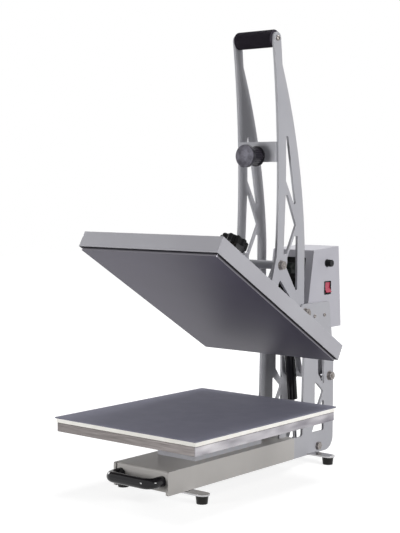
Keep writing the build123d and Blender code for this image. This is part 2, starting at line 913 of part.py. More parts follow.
# Handle plates: curved truss plates from the pivot, past the knee, up to the grip
handle_openings = (
    ((497, 784), (505, 784), (538, 626), (530, 626), (498, 680)),
    ((497, 647), (505, 647), (540, 576), (503, 508), (490, 506)),
    ((534, 550), (547, 550), (547, 421), (540, 421), (501, 478), (506, 489), (505, 500)),
    ((477, 450), (530, 394), (456, 411)),
)
handle_boss_radius = 13.0
tip_front = (grip_back - handle_tip_radius, grip_height)
tip_rear = (grip_back + handle_tip_radius, grip_height)
grip_screw_diameter = 8.0
low_corner = (430, 398)
for hand, x in (("left", -handle_half), ("right", handle_inner)):
    with BuildPart() as handle_plate:
        with BuildSketch(side(x)):
            with BuildLine():
                ThreePointArc(tip_front, (469, 715), (463, 505))
                Polyline((463, 505), low_corner, (569, 353), (576.5, 366), (576.5, 533))
                ThreePointArc((576.5, 533), (547, 740), (480, 948))
                Line((480, 948), tip_rear)
                ThreePointArc(tip_rear, (grip_back, grip_height + handle_tip_radius), tip_front)
            make_face()
            with Locations(handle_pivot):
                Circle(handle_boss_radius)
            for corners in handle_openings:
                cut_opening(corners, opening_radius)
            with Locations(handle_pivot):
                Circle(pivot_diameter / 2 + pin_clearance, mode=Mode.SUBTRACT)
            with Locations(knee):
                Circle(bolt_diameter / 2, mode=Mode.SUBTRACT)
            with Locations((grip_back, grip_height)):
                Circle(grip_screw_diameter / 2, mode=Mode.SUBTRACT)
        extrude(amount=handle_wall)
        corner = handle_plate.edges().filter_by(Axis.X).sort_by_distance(
            side(x).from_local_coords((low_corner[0], low_corner[1], 0))
        )[0]
        fillet(corner, 8)
    save(handle_plate, f"handle_plate_{hand}")


def cross_round(left, length, centre, outer, inner=0.0):
    """Round bar or tube along X, from its left end, at a place in the side view."""
    with BuildPart() as bar:
        with BuildSketch(side(left)):
            with Locations(centre):
                Circle(outer / 2)
                if inner > 0:
                    Circle(inner / 2, mode=Mode.SUBTRACT)
        extrude(amount=length)
    return bar.part


grip_centre = (grip_back, grip_height)
with BuildPart() as handle_tubes:
    add(cross_round(-handle_inner, 2 * handle_inner, knee, knee_diameter, bolt_diameter))
    add(
        cross_round(
            -handle_inner, 2 * handle_inner, grip_centre, grip_core_diameter, grip_screw_diameter
        )
    )
save(handle_tubes, "handle_tubes")

with BuildPart() as foam_grip:
    add(cross_round(-handle_inner, 2 * handle_inner, grip_centre, grip_diameter, grip_core_diameter))
    chamfer(foam_grip.edges().filter_by(GeomType.CIRCLE).sort_by(SortBy.RADIUS)[-2:], 2)
save(foam_grip, "foam_grip")

# Knee bolt with its washers and nuts, and the screws at the grip's ends
grip_screw_bite = 16.0
grip_screw_head = 4.5
knee_washer = 2.0
bolt_proud = 12.0
with BuildPart() as handle_fasteners:
    add(cross_round(-handle_half - bolt_proud, handle_width + 2 * bolt_proud, knee, bolt_diameter))
    for x, way in ((handle_half, 1), (-handle_half, -1)):
        with BuildSketch(side(x)):
            with Locations(knee):
                Circle(nut_across * 0.6)
        extrude(amount=way * knee_washer)
        with BuildSketch(side(x + way * knee_washer)):
            with Locations(knee):
                RegularPolygon(nut_across / 2, 6, major_radius=False)
        extrude(amount=way * (nut_thickness - 1))
        with BuildSketch(side(x)):
            with Locations(grip_centre):
                Circle(grip_screw_diameter / 2)
        extrude(amount=-way * (handle_wall + grip_screw_bite))
        with BuildSketch(side(x)):
            with Locations(grip_centre):
                Circle(grip_screw_diameter * 0.8)
        extrude(amount=way * grip_screw_head)
save(handle_fasteners, "handle_fasteners")

# Cross plate with its two flanges between the handle plates
flange_depth = 26.0
flange_sheet = 3.0
with BuildPart() as cross_plate:
    with BuildSketch(side(-handle_inner)):
        with BuildLine():
            FilletPolyline(
                (cross_plate_front, cross_plate_low),
                (cross_plate_front + flange_depth, cross_plate_low),
                (cross_plate_front + flange_depth, cross_plate_high),
                (cross_plate_front, cross_plate_high),
                radius=(0, 8, 8, 0),
                close=True,
            )
        make_face()
    extrude(amount=2 * handle_inner)
    with BuildSketch(side(-handle_inner + flange_sheet)):
        with Locations(
            (cross_plate_front + cross_plate_thickness + flange_depth / 2, armature_height)
        ):
            Rectangle(flange_depth, 2 * (cross_plate_high - cross_plate_low))
    extrude(amount=2 * (handle_inner - flange_sheet), mode=Mode.SUBTRACT)
save(cross_plate, "cross_plate")

buffer_front = armature_front + armature_thickness
buffer_length = cross_plate_front - buffer_front
buffer_centre = facing_front(buffer_front)
with BuildPart() as armature_buffer:
    with BuildSketch(buffer_centre):
        with Locations((0, armature_height)):
            Circle(buffer_diameter / 2 - buffer_rib)
            with PolarLocations(buffer_diameter / 2 - buffer_rib, buffer_ribs):
                Rectangle(2 * buffer_rib, 2 * buffer_rib)
    extrude(amount=-buffer_length)
    with BuildSketch(facing_front(cross_plate_front)):
        with Locations((0, armature_height)):
            Circle(buffer_diameter / 2 + buffer_flange)
    extrude(amount=buffer_flange)
save(armature_buffer, "armature_buffer")

with BuildPart() as armature_disc:
    with BuildSketch(facing_front(armature_front)):
        with Locations((0, armature_height)):
            Circle(armature_diameter / 2)
    extrude(amount=-armature_thickness)
    chamfer(armature_disc.edges().filter_by(GeomType.CIRCLE), 1)
save(armature_disc, "armature_disc")

# Toggle links from the knee tube down to the pins of the arm
with BuildPart() as toggle_links:
    for x in (link_left, -link_left - link_wall):
        with BuildSketch(side(x)):
            with Locations(knee, link_pin):
                Circle(link_boss_radius)
            make_hull()
            with Locations(knee):
                Circle(knee_diameter / 2 + pin_clearance, mode=Mode.SUBTRACT)
        extrude(amount=link_wall)
save(toggle_links, "toggle_links")

# Gas spring: body hung from the arm, rod down to the cross bolt between the legs
spring_top = side(0).from_local_coords((spring_upper_back, spring_upper_height, 0))
spring_end = side(0).from_local_coords((spring_lower_back, spring_lower_height, 0))
spring_axis = (spring_end - spring_top).normalized()
spring_open_length = (spring_end - spring_top).length


def along_spring(distance):
    """Plane square to the gas spring, at a distance below its upper eye."""
    return Plane(origin=spring_top + spring_axis * distance, x_dir=(1, 0, 0), z_dir=spring_axis)


neck_length = 14.0
piston_length = 12.0
with BuildPart() as spring_body:
    with BuildSketch(along_spring(spring_eye_radius * 0.6)):
        Circle(spring_eye_radius * 0.6)
    extrude(amount=neck_length)
    with BuildSketch(along_spring(neck_length)):
        Circle(spring_body_diameter / 2)
    extrude(amount=spring_body_length - neck_length)
    with BuildSketch(along_spring(neck_length + spring_gland)):
        Circle(spring_body_diameter / 2 - spring_wall)
    extrude(amount=spring_body_length - neck_length - 2 * spring_gland, mode=Mode.SUBTRACT)
    with BuildSketch(along_spring(neck_length + spring_gland)):
        Circle(spring_rod_diameter / 2 + pin_clearance)
    extrude(amount=spring_body_length, mode=Mode.SUBTRACT)
    with BuildSketch(side(-spring_eye_half)):
        with Locations((spring_upper_back, spring_upper_height)):
            Circle(spring_eye_radius)
    extrude(amount=spring_eye_width)
    with BuildSketch(side(-spring_eye_half)):
        with Locations((spring_upper_back, spring_upper_height)):
            Circle(spring_pin_diameter / 2 + pin_clearance)
    extrude(amount=spring_eye_width, mode=Mode.SUBTRACT)
save(spring_body, "spring_body")

piston_start = spring_body_length - spring_gland - piston_length - running_gap
lower_bore = spring_bolt_diameter / 2 + spring_lower_clearance
lower_eye = lower_bore + spring_eye_wall
with BuildPart() as spring_rod:
    with BuildSketch(along_spring(piston_start)):
        Circle(spring_body_diameter / 2 - spring_wall - pin_clearance)
    extrude(amount=piston_length)
    with BuildSketch(along_spring(piston_start)):
        Circle(spring_rod_diameter / 2)
    extrude(amount=spring_open_length - piston_start - lower_bore - 1)
    with BuildSketch(side(-spring_eye_half)):
        with Locations(spring_foot):
            Circle(lower_eye)
    extrude(amount=spring_eye_width)
    with BuildSketch(side(-spring_eye_half)):
        with Locations(spring_foot):
            Circle(lower_bore)
    extrude(amount=spring_eye_width, mode=Mode.SUBTRACT)
save(spring_rod, "spring_rod")

# Control box between the column tops: a folded shell, open at the back
box_front_low = (box_front_bottom, box_bottom_height)
box_front_high = (box_front_top, box_top_height)
box_rear_low = (press_depth, box_bottom_height)
box_rear_high = (press_depth - box_rear_lean, box_rear_top_height)


def box_face(low, high, facing):
    """Plane on the box's front or rear, from its low edge: local x across, local z outward."""
    start = side(0).from_local_coords((low[0], low[1], 0))
    rise = side(0).from_local_coords((high[0], high[1], 0)) - start
    return Plane(origin=start, x_dir=(facing, 0, 0), z_dir=Vector(facing, 0, 0).cross(rise))


box_front = box_face(box_front_low, box_front_high, 1)
box_rear = box_face(box_rear_low, box_rear_high, -1)
switch_place = (switch_back, switch_height)
fuse_place = (fuse_back, fuse_height)
fuse_stem = fuse_diameter * 0.55
grommet_back = 690.0
grommet_diameter = 14.0
grommet_lip = 2.5
bezel_wall = 1.0
rocker_radius = 14.3
well_width = switch_width - 2 * switch_rim
well_tall = 2 * (rocker_radius + running_gap)
switch_hole = (well_width + 2 * bezel_wall, well_tall + 2 * bezel_wall)
with BuildPart() as control_box:
    with BuildSketch(side(-frame_inner)):
        with BuildLine():
            FilletPolyline(
                box_front_low, box_rear_low, box_rear_high, box_front_high, radius=(3, 0, 0, 3), close=True
            )
        make_face()
    extrude(amount=2 * frame_inner)
    offset(amount=-sheet, openings=control_box.faces().sort_by(Axis.Y)[-1])
    with BuildSketch(box_front):
        with Locations((0, (display_low + display_high) / 2)):
            RectangleRounded(display_width, display_high - display_low, 3)
    extrude(amount=-2 * sheet, mode=Mode.SUBTRACT)
    with BuildSketch(side(frame_inner)):
        with Locations(switch_place):
            Rectangle(*switch_hole)
        with Locations(fuse_place):
            Circle(fuse_stem / 2 + fuse_wall)
    extrude(amount=-2 * sheet, mode=Mode.SUBTRACT)
    with BuildSketch(side(-frame_half)):
        with Locations(*box_screw_places):
            Circle(box_screw_diameter / 2)
    extrude(amount=frame_width, mode=Mode.SUBTRACT)
    with BuildSketch(level(box_bottom_height)):
        with Locations((0, grommet_back)):
            Circle(grommet_diameter / 2)
    extrude(amount=2 * sheet, mode=Mode.SUBTRACT)
save(control_box, "control_box")

with BuildPart() as lead_grommet:
    with BuildSketch(level(box_bottom_height - grommet_lip)):
        with Locations((0, grommet_back)):
            Circle(grommet_diameter / 2 + grommet_lip)
    extrude(amount=grommet_lip)
    with BuildSketch(level(box_bottom_height)):
        with Locations((0, grommet_back)):
            Circle(grommet_diameter / 2)
    extrude(amount=sheet + grommet_lip)
    with BuildSketch(level(box_bottom_height - grommet_lip)):
        with Locations((0, grommet_back)):
            Circle(grommet_diameter * 0.3)
    extrude(amount=sheet + 2 * grommet_lip, mode=Mode.SUBTRACT)
save(lead_grommet, "lead_grommet")

# Rear cover with vent slots and the opening of the mains inlet
rear_length = math.dist(box_rear_low, box_rear_high)
cover_gap = sheet + 0.5
inlet_height = 42.0
inlet_width = 28.0
inlet_tall = 21.0
inlet_wall = 2.0
inlet_ear = 10.0
inlet_flange = 2.0
inlet_well = 18.0
inlet_pin = 2.0
inlet_pin_tall = 5.0
inlet_pin_length = 10.0
inlet_pin_pitch = 14.0
inlet_pin_offset = 3.0
vent_height = 130.0
vent_pitch = 9.0
vent_slots = 6
vent_length = 70.0
vent_width = 4.0
cover_flange = 10.0
with BuildPart() as box_rear_cover:
    with BuildSketch(box_rear):
        with Locations((0, rear_length / 2)):
            Rectangle(2 * (frame_inner - cover_gap), rear_length - 4 * cover_gap)
        with Locations((0, vent_height)):
            with GridLocations(1, vent_pitch, 1, vent_slots):
                SlotOverall(vent_length, vent_width, mode=Mode.SUBTRACT)
        with Locations((0, inlet_height)):
            Rectangle(inlet_width, inlet_tall, mode=Mode.SUBTRACT)
    extrude(amount=-sheet)
    with BuildSketch(box_rear.offset(-sheet)):
        with Locations((0, rear_length / 2)):
            Rectangle(2 * (frame_inner - sheet), rear_length - 4 * cover_gap)
            Rectangle(2 * (frame_inner - cover_flange), rear_length, mode=Mode.SUBTRACT)
    extrude(amount=-sheet)
save(box_rear_cover, "box_rear_cover")

with BuildPart() as mains_inlet:
    with BuildSketch(box_rear):
        with Locations((0, inlet_height)):
            RectangleRounded(inlet_width + 2 * inlet_ear, inlet_tall + 2 * inlet_wall, 5)
    extrude(amount=inlet_flange)
    with BuildSketch(box_rear.offset(inlet_flange)):
        with Locations((0, inlet_height)):
            Rectangle(inlet_width, inlet_tall)
    extrude(amount=-inlet_flange - inlet_well - inlet_wall)
    with BuildSketch(box_rear.offset(inlet_flange)):
        with Locations((0, inlet_height)):
            Rectangle(inlet_width - 2 * inlet_wall, inlet_tall - 2 * inlet_wall)
    extrude(amount=-inlet_flange - inlet_well, mode=Mode.SUBTRACT)
    with BuildSketch(box_rear.offset(-inlet_well)):
        with Locations((0, inlet_height + inlet_pin_offset)):
            Rectangle(inlet_pin, inlet_pin_tall)
        with Locations((0, inlet_height - inlet_pin_offset)):
            with GridLocations(inlet_pin_pitch, 1, 2, 1):
                Rectangle(inlet_pin, inlet_pin_tall)
    extrude(amount=inlet_pin_length)
save(mains_inlet, "mains_inlet")

# Display panel in the box front, with four push buttons under its screen
panel_face = box_front.offset(panel_proud)
button_height = display_low + button_row
with BuildPart() as display_panel:
    with BuildSketch(panel_face):
        with Locations((0, (display_low + display_high) / 2)):
            RectangleRounded(
                display_width - 2 * panel_gap, display_high - display_low - 2 * panel_gap, 3
            )
        with Locations((0, button_height)):
            with GridLocations(button_pitch, 1, 4, 1):
                Circle(button_diameter / 2 + running_gap, mode=Mode.SUBTRACT)
    extrude(amount=-display_thickness)
save(display_panel, "display_panel")

lug_back = display_thickness + running_gap
lug_reach = 1.5
lug_thickness = 1.2
stem_length = 7.0
for number in range(4):
    across = (number - 1.5) * button_pitch
    with BuildPart() as panel_button:
        with BuildSketch(panel_face.offset(button_proud)):
            with Locations((across, button_height)):
                Circle(button_diameter / 2)
        extrude(amount=-button_proud - stem_length)
        with BuildSketch(panel_face.offset(-lug_back)):
            with Locations((across, button_height)):
                Rectangle(button_diameter * 0.6, button_diameter + 2 * lug_reach)
        extrude(amount=-lug_thickness)
    save(panel_button, f"panel_button_{number + 1}")

board_depth = 15.0
board_thickness = 1.6
board_inset = 3.0
post_inset = 5.0
post_diameter = 6.0
key_switch = 6.0
relay_width = 28.0
relay_tall = 22.0
relay_depth = 16.0
with BuildPart() as control_board:
    with BuildSketch(panel_face.offset(-board_depth)):
        with Locations((0, (display_low + display_high) / 2)):
            Rectangle(display_width - 2 * board_inset, display_high - display_low)
    extrude(amount=-board_thickness)
    with BuildSketch(panel_face.offset(-board_depth)):
        with Locations((0, (display_low + display_high) / 2)):
            with GridLocations(
                display_width - 2 * (board_inset + post_inset),
                display_high - display_low - 2 * post_inset,
                2,
                2,
            ):
                Circle(post_diameter / 2)
    extrude(amount=board_depth - display_thickness)
    with BuildSketch(panel_face.offset(-board_depth)):
        with Locations((0, button_height)):
            with GridLocations(button_pitch, 1, 4, 1):
                Rectangle(key_switch, key_switch)
    extrude(amount=board_depth - stem_length - button_travel - running_gap)
    with BuildSketch(panel_face.offset(-board_depth - board_thickness)):
        with Locations((relay_width / 2, display_high - relay_tall)):
            Rectangle(relay_width, relay_tall)
    extrude(amount=-relay_depth)
save(control_board, "control_board")

# Power switch: bezel with a well, and a rocker on a cross pin
rocker_pivot_depth = 3.0
rocker_pin = 3.0
rocker_proud = 6.0
rocker_half = 12.6
valley = 2.5
with BuildPart() as switch_bezel:
    with BuildSketch(side(frame_inner)):
        with Locations(switch_place):
            RectangleRounded(switch_width, switch_tall, 2.5)
    extrude(amount=switch_flange)
    with BuildSketch(side(frame_inner)):
        with Locations(switch_place):
            Rectangle(*switch_hole)
    extrude(amount=-switch_depth)
    with BuildSketch(side(frame_inner + switch_flange)):
        with Locations(switch_place):
            Rectangle(well_width, well_tall)
    extrude(amount=-switch_depth, mode=Mode.SUBTRACT)
    with BuildSketch(
        Plane(
            origin=(frame_inner - rocker_pivot_depth, front_y + switch_back, switch_height),
            z_dir=(0, 1, 0),
        )
    ):
        Circle(rocker_pin / 2 + pin_clearance)
    extrude(amount=switch_width / 2, both=True, mode=Mode.SUBTRACT)
save(switch_bezel, "switch_bezel")

rocker_plane = Plane(
    origin=(frame_inner - rocker_pivot_depth, front_y + switch_back, switch_height),
    x_dir=(math.cos(math.radians(switch_tilt)), 0, math.sin(math.radians(switch_tilt))),
    z_dir=(0, -1, 0),
)
with BuildPart() as switch_rocker:
    with BuildSketch(rocker_plane):
        with BuildLine():
            Polyline(
                (rocker_proud, rocker_half),
                (valley, 0),
                (rocker_proud, -rocker_half),
                (0, -rocker_half),
                (-7, -6),
                (-7, 6),
                (0, rocker_half),
                close=True,
            )
        make_face()
    extrude(amount=well_width / 2 - running_gap, both=True)
    with BuildSketch(rocker_plane):
        Circle(rocker_pin / 2)
    extrude(amount=well_width / 2 + bezel_wall * 0.8, both=True)
save(switch_rocker, "switch_rocker")

# Fuse holder and its screw cap
holder_flange = 2.0
holder_depth = 24.0
cap_start = frame_inner + holder_flange + running_gap
with BuildPart() as fuse_holder:
    with BuildSketch(side(frame_inner)):
        with Locations(fuse_place):
            Circle(fuse_diameter / 2 + fuse_wall)
    extrude(amount=holder_flange)
    with BuildSketch(side(frame_inner)):
        with Locations(fuse_place):
            Circle(fuse_stem / 2 + fuse_wall)
    extrude(amount=-holder_depth)
    with BuildSketch(side(frame_inner + holder_flange)):
        with Locations(fuse_place):
            Circle(fuse_stem / 2 - fuse_wall + pin_clearance)
    extrude(amount=-holder_depth, mode=Mode.SUBTRACT)
save(fuse_holder, "fuse_holder")

with BuildPart() as fuse_cap:
    with BuildSketch(side(cap_start)):
        with Locations(fuse_place):
            Circle(fuse_diameter / 2 - fuse_rib / 2)
            with PolarLocations(fuse_diameter / 2 - fuse_rib, fuse_ribs):
                Rectangle(2 * fuse_rib, fuse_rib)
    extrude(amount=fuse_reach)
    with BuildSketch(side(cap_start)):
        with Locations(fuse_place):
            Circle(fuse_stem / 2 - fuse_wall)
    extrude(amount=-holder_depth / 2)
    with BuildSketch(side(cap_start + fuse_reach)):
        with Locations(fuse_place):
            Rectangle(fuse_diameter * 0.7, fuse_slot)
    extrude(amount=-fuse_slot, mode=Mode.SUBTRACT)
save(fuse_cap, "fuse_cap")

print("handle and arm swing", handle_swing, arm_swing, "degrees, drawer travel", drawer_travel)
print("pressure travel", platen_travel, "in", spindle_turns, "turns of the knob")
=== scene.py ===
import bmesh
import bpy
import math
from mathutils import Matrix, Vector


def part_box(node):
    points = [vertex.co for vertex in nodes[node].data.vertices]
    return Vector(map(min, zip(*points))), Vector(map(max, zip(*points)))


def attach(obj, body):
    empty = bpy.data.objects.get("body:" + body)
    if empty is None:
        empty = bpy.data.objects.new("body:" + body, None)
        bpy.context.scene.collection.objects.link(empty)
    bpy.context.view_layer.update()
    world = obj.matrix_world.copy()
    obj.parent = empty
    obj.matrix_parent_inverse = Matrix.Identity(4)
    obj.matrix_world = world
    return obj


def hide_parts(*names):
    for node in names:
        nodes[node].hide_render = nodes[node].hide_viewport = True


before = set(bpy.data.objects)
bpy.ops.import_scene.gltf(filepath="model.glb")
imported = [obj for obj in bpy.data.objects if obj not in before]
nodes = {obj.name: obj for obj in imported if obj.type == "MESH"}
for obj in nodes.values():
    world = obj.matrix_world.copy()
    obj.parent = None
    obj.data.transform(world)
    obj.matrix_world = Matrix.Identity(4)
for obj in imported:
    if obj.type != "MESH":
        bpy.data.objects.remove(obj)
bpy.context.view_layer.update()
scene = bpy.context.scene
scene.view_settings.view_transform = "Standard"
bpy.ops.object.select_all(action="DESELECT")


# Materials

def linear(code):
    """Turns an sRGB hex colour into the linear values that a shader takes."""
    channels = [int(code[i:i + 2], 16) / 255 for i in (1, 3, 5)]
    curve = [c / 12.92 if c <= 0.04045 else ((c + 0.055) / 1.055) ** 2.4 for c in channels]
    return (*curve, 1.0)


def add_node(tree, kind, settings=None, links=None):
    """Adds a node to a material, with its settings and with links from other nodes' outputs."""
    node = tree.nodes.new(kind)
    for name, value in (settings or {}).items():
        if isinstance(name, int) or name in node.inputs:
            node.inputs[name].default_value = value
        else:
            setattr(node, name, value)
    for name, source in (links or {}).items():
        tree.links.new(source, node.inputs[name])
    return node


def new_material(name):
    """Makes an empty material and gives its node tree, its shader and its object coordinates."""
    material = bpy.data.materials.new(name)
    material.use_nodes = True
    tree = material.node_tree
    tree.nodes.clear()
    shader = add_node(tree, "ShaderNodeBsdfPrincipled")
    add_node(tree, "ShaderNodeOutputMaterial", links={"Surface": shader.outputs["BSDF"]})
    place = add_node(tree, "ShaderNodeTexCoord").outputs["Object"]
    return material, tree, shader, place


def per_metre(millimetres):
    """Noise and wave scale for a feature of this size, on coordinates in metres."""
    return 1000 / millimetres


def shade_between(tree, shader, mask, low, high, start=0.3, end=0.7):
    """Colours the shader from one hex colour to another as the mask rises."""
    ramp = add_node(tree, "ShaderNodeValToRGB", links={"Fac": mask})
    ramp.color_ramp.elements[0].position = start
    ramp.color_ramp.elements[0].color = linear(low)
    ramp.color_ramp.elements[1].position = end
    ramp.color_ramp.elements[1].color = linear(high)
    tree.links.new(ramp.outputs["Color"], shader.inputs["Base Color"])
    return ramp


def painted_edge_highlight(tree, radius):
    """Mask of the corners, where the rounded normal leaves the flat one, for a painted highlight along the
    edges.
    """
    rounded = add_node(tree, "ShaderNodeBevel", {"samples": 6, "Radius": radius})
    flat = add_node(tree, "ShaderNodeNewGeometry")
    turn = add_node(
        tree,
        "ShaderNodeVectorMath",
        {"operation": "DOT_PRODUCT"},
        {0: rounded.outputs["Normal"], 1: flat.outputs["True Normal"]},
    )
    mask = add_node(
        tree,
        "ShaderNodeMapRange",
        {"From Min": 0.995, "From Max": 0.8, "To Min": 0.0, "To Max": 1.0},
        {"Value": turn.outputs["Value"]},
    )
    return rounded.outputs["Normal"], mask.outputs["Result"]


def powder_coat(name, low, high, gloss=0.42):
    """Powder coat on steel: a faint orange peel, soft clouds of tone, and edges lightened as a painted
    highlight.
    """
    material, tree, shader, place = new_material(name)
    cloud = add_node(
        tree, "ShaderNodeTexNoise", {"Scale": per_metre(160), "Detail": 3.0}, {"Vector": place}
    )
    tone = shade_between(tree, shader, cloud.outputs["Fac"], low, high)
    normal, edge = painted_edge_highlight(tree, 0.0009)
    # Painted highlight: the corners are mixed towards a pale grey, #d3d3d6
    edge_highlight_mix = add_node(
        tree,
        "ShaderNodeMix",
        {"data_type": "RGBA", "blend_type": "MIX", 7: linear("#d3d3d6")},
        {0: edge, 6: tone.outputs["Color"]},
    )
    tree.links.new(edge_highlight_mix.outputs[2], shader.inputs["Base Color"])
    # Orange peel of cured powder, 1.6 mm across
    peel = add_node(
        tree, "ShaderNodeTexNoise", {"Scale": per_metre(1.6), "Detail": 2.0}, {"Vector": place}
    )
    bump = add_node(
        tree,
        "ShaderNodeBump",
        {"Strength": 0.14, "Distance": 0.0002},
        {"Height": peel.outputs["Fac"], "Normal": normal},
    )
    tree.links.new(bump.outputs["Normal"], shader.inputs["Normal"])
    shader.inputs["Roughness"].default_value = gloss
    shader.inputs["IOR"].default_value = 1.5
    shader.inputs["Specular IOR Level"].default_value = 0.22
    return material


def turned_metal(name, low, high, rough, streak=0.5, axis="X"):
    """Machined bare metal: fine tool lines drawn out along one axis, and tone that drifts with them."""
    material, tree, shader, place = new_material(name)
    stretch = {"X": (0.02, 1.0, 1.0), "Y": (1.0, 0.02, 1.0), "Z": (1.0, 1.0, 0.02)}[axis]
    lines = add_node(tree, "ShaderNodeMapping", {"Scale": stretch}, {"Vector": place})
    grain = add_node(
        tree,
        "ShaderNodeTexNoise",
        {"Scale": per_metre(streak), "Detail": 3.0},
        {"Vector": lines.outputs["Vector"]},
    )
    shade_between(tree, shader, grain.outputs["Fac"], low, high)
    roughness = add_node(
        tree,
        "ShaderNodeMapRange",
        {"To Min": rough * 0.8, "To Max": rough * 1.25},
        {"Value": grain.outputs["Fac"]},
    )
    tree.links.new(roughness.outputs["Result"], shader.inputs["Roughness"])
    rounded = add_node(tree, "ShaderNodeBevel", {"samples": 4, "Radius": 0.0005})
    bump = add_node(
        tree,
        "ShaderNodeBump",
        {"Strength": 0.08, "Distance": 0.0001},
        {"Height": grain.outputs["Fac"], "Normal": rounded.outputs["Normal"]},
    )
    tree.links.new(bump.outputs["Normal"], shader.inputs["Normal"])
    shader.inputs["Metallic"].default_value = 1.0
    return material


def faced_steel(name, low, high, centre, rough=0.3):
    """Steel faced on a lathe about an axis along Y: rings from the tool, round the middle of the disc."""
    material, tree, shader, place = new_material(name)
    from_middle = add_node(
        tree,
        "ShaderNodeMapping",
        {"vector_type": "TEXTURE", "Location": centre},
        {"Vector": place},
    )
    flat = add_node(
        tree,
        "ShaderNodeVectorMath",
        {"operation": "MULTIPLY", 1: (1.0, 0.0, 1.0)},
        {0: from_middle.outputs["Vector"]},
    )
    radius = add_node(
        tree, "ShaderNodeVectorMath", {"operation": "LENGTH"}, {0: flat.outputs["Vector"]}
    )
    # Tool rings 0.9 mm apart
    rings = add_node(
        tree,
        "ShaderNodeTexNoise",
        {"noise_dimensions": "1D", "Scale": per_metre(0.9), "Detail": 2.0},
        {"W": radius.outputs["Value"]},
    )
    stain = add_node(
        tree, "ShaderNodeTexNoise", {"Scale": per_metre(14), "Detail": 3.0}, {"Vector": place}
    )
    both = add_node(
        tree,
        "ShaderNodeMath",
        {"operation": "MULTIPLY_ADD", 1: 0.45},
        {0: rings.outputs["Fac"], 2: stain.outputs["Fac"]},
    )
    shade_between(tree, shader, both.outputs["Value"], low, high, 0.5, 0.95)
    bump = add_node(
        tree,
        "ShaderNodeBump",
        {"Strength": 0.2, "Distance": 0.0001},
        {"Height": rings.outputs["Fac"]},
    )
    tree.links.new(bump.outputs["Normal"], shader.inputs["Normal"])
    shader.inputs["Metallic"].default_value = 1.0
    shader.inputs["Roughness"].default_value = rough
    return material


def moulded(name, low, high, rough, grain=0.8, depth=0.05, shine=0.5):
    """Moulded plastic or rubber: a fine spark-eroded grain and a slight drift of tone."""
    material, tree, shader, place = new_material(name)
    texture = add_node(
        tree, "ShaderNodeTexNoise", {"Scale": per_metre(grain), "Detail": 2.0}, {"Vector": place}
    )
    cloud = add_node(
        tree, "ShaderNodeTexNoise", {"Scale": per_metre(35), "Detail": 2.0}, {"Vector": place}
    )
    shade_between(tree, shader, cloud.outputs["Fac"], low, high)
    rounded = add_node(tree, "ShaderNodeBevel", {"samples": 4, "Radius": 0.0005})
    bump = add_node(
        tree,
        "ShaderNodeBump",
        {"Strength": depth, "Distance": 0.0002},
        {"Height": texture.outputs["Fac"], "Normal": rounded.outputs["Normal"]},
    )
    tree.links.new(bump.outputs["Normal"], shader.inputs["Normal"])
    shader.inputs["Roughness"].default_value = rough
    shader.inputs["IOR"].default_value = 1.5
    shader.inputs["Specular IOR Level"].default_value = shine
    return material


def coated_aluminium(name, low, high, bare, outward):
    """Sprayed non-stick coat on the working face of an aluminium plate; its sawn edges stay bare."""
    material, tree, shader, place = new_material(name)
    # Spray speckle, 1.4 mm: the real one is finer than the picture shows
    speckle = add_node(
        tree, "ShaderNodeTexNoise", {"Scale": per_metre(1.4), "Detail": 3.0}, {"Vector": place}
    )
    drift = add_node(
        tree, "ShaderNodeTexNoise", {"Scale": per_metre(220), "Detail": 2.0}, {"Vector": place}
    )
    tone = shade_between(tree, shader, drift.outputs["Fac"], low, high)
    side = add_node(tree, "ShaderNodeTexCoord").outputs["Normal"]
    facing = add_node(
        tree, "ShaderNodeVectorMath", {"operation": "DOT_PRODUCT", 1: outward}, {0: side}
    )
    coated = add_node(
        tree,
        "ShaderNodeMapRange",
        {"From Min": 0.5, "From Max": 0.7},
        {"Value": facing.outputs["Value"]},
    )
    colour = add_node(
        tree,
        "ShaderNodeMix",
        {"data_type": "RGBA", 6: linear(bare)},
        {0: coated.outputs["Result"], 7: tone.outputs["Color"]},
    )
    tree.links.new(colour.outputs[2], shader.inputs["Base Color"])
    metal = add_node(
        tree,
        "ShaderNodeMapRange",
        {"To Min": 1.0, "To Max": 0.15},
        {"Value": coated.outputs["Result"]},
    )
    tree.links.new(metal.outputs["Result"], shader.inputs["Metallic"])
    gloss = add_node(
        tree,
        "ShaderNodeMapRange",
        {"To Min": 0.3, "To Max": 0.42},
        {"Value": coated.outputs["Result"]},
    )
    tree.links.new(gloss.outputs["Result"], shader.inputs["Roughness"])
    bump = add_node(
        tree,
        "ShaderNodeBump",
        {"Strength": 0.08, "Distance": 0.0002},
        {"Height": speckle.outputs["Fac"]},
    )
    tree.links.new(bump.outputs["Normal"], shader.inputs["Normal"])
    shader.inputs["Specular IOR Level"].default_value = 0.4
    return material


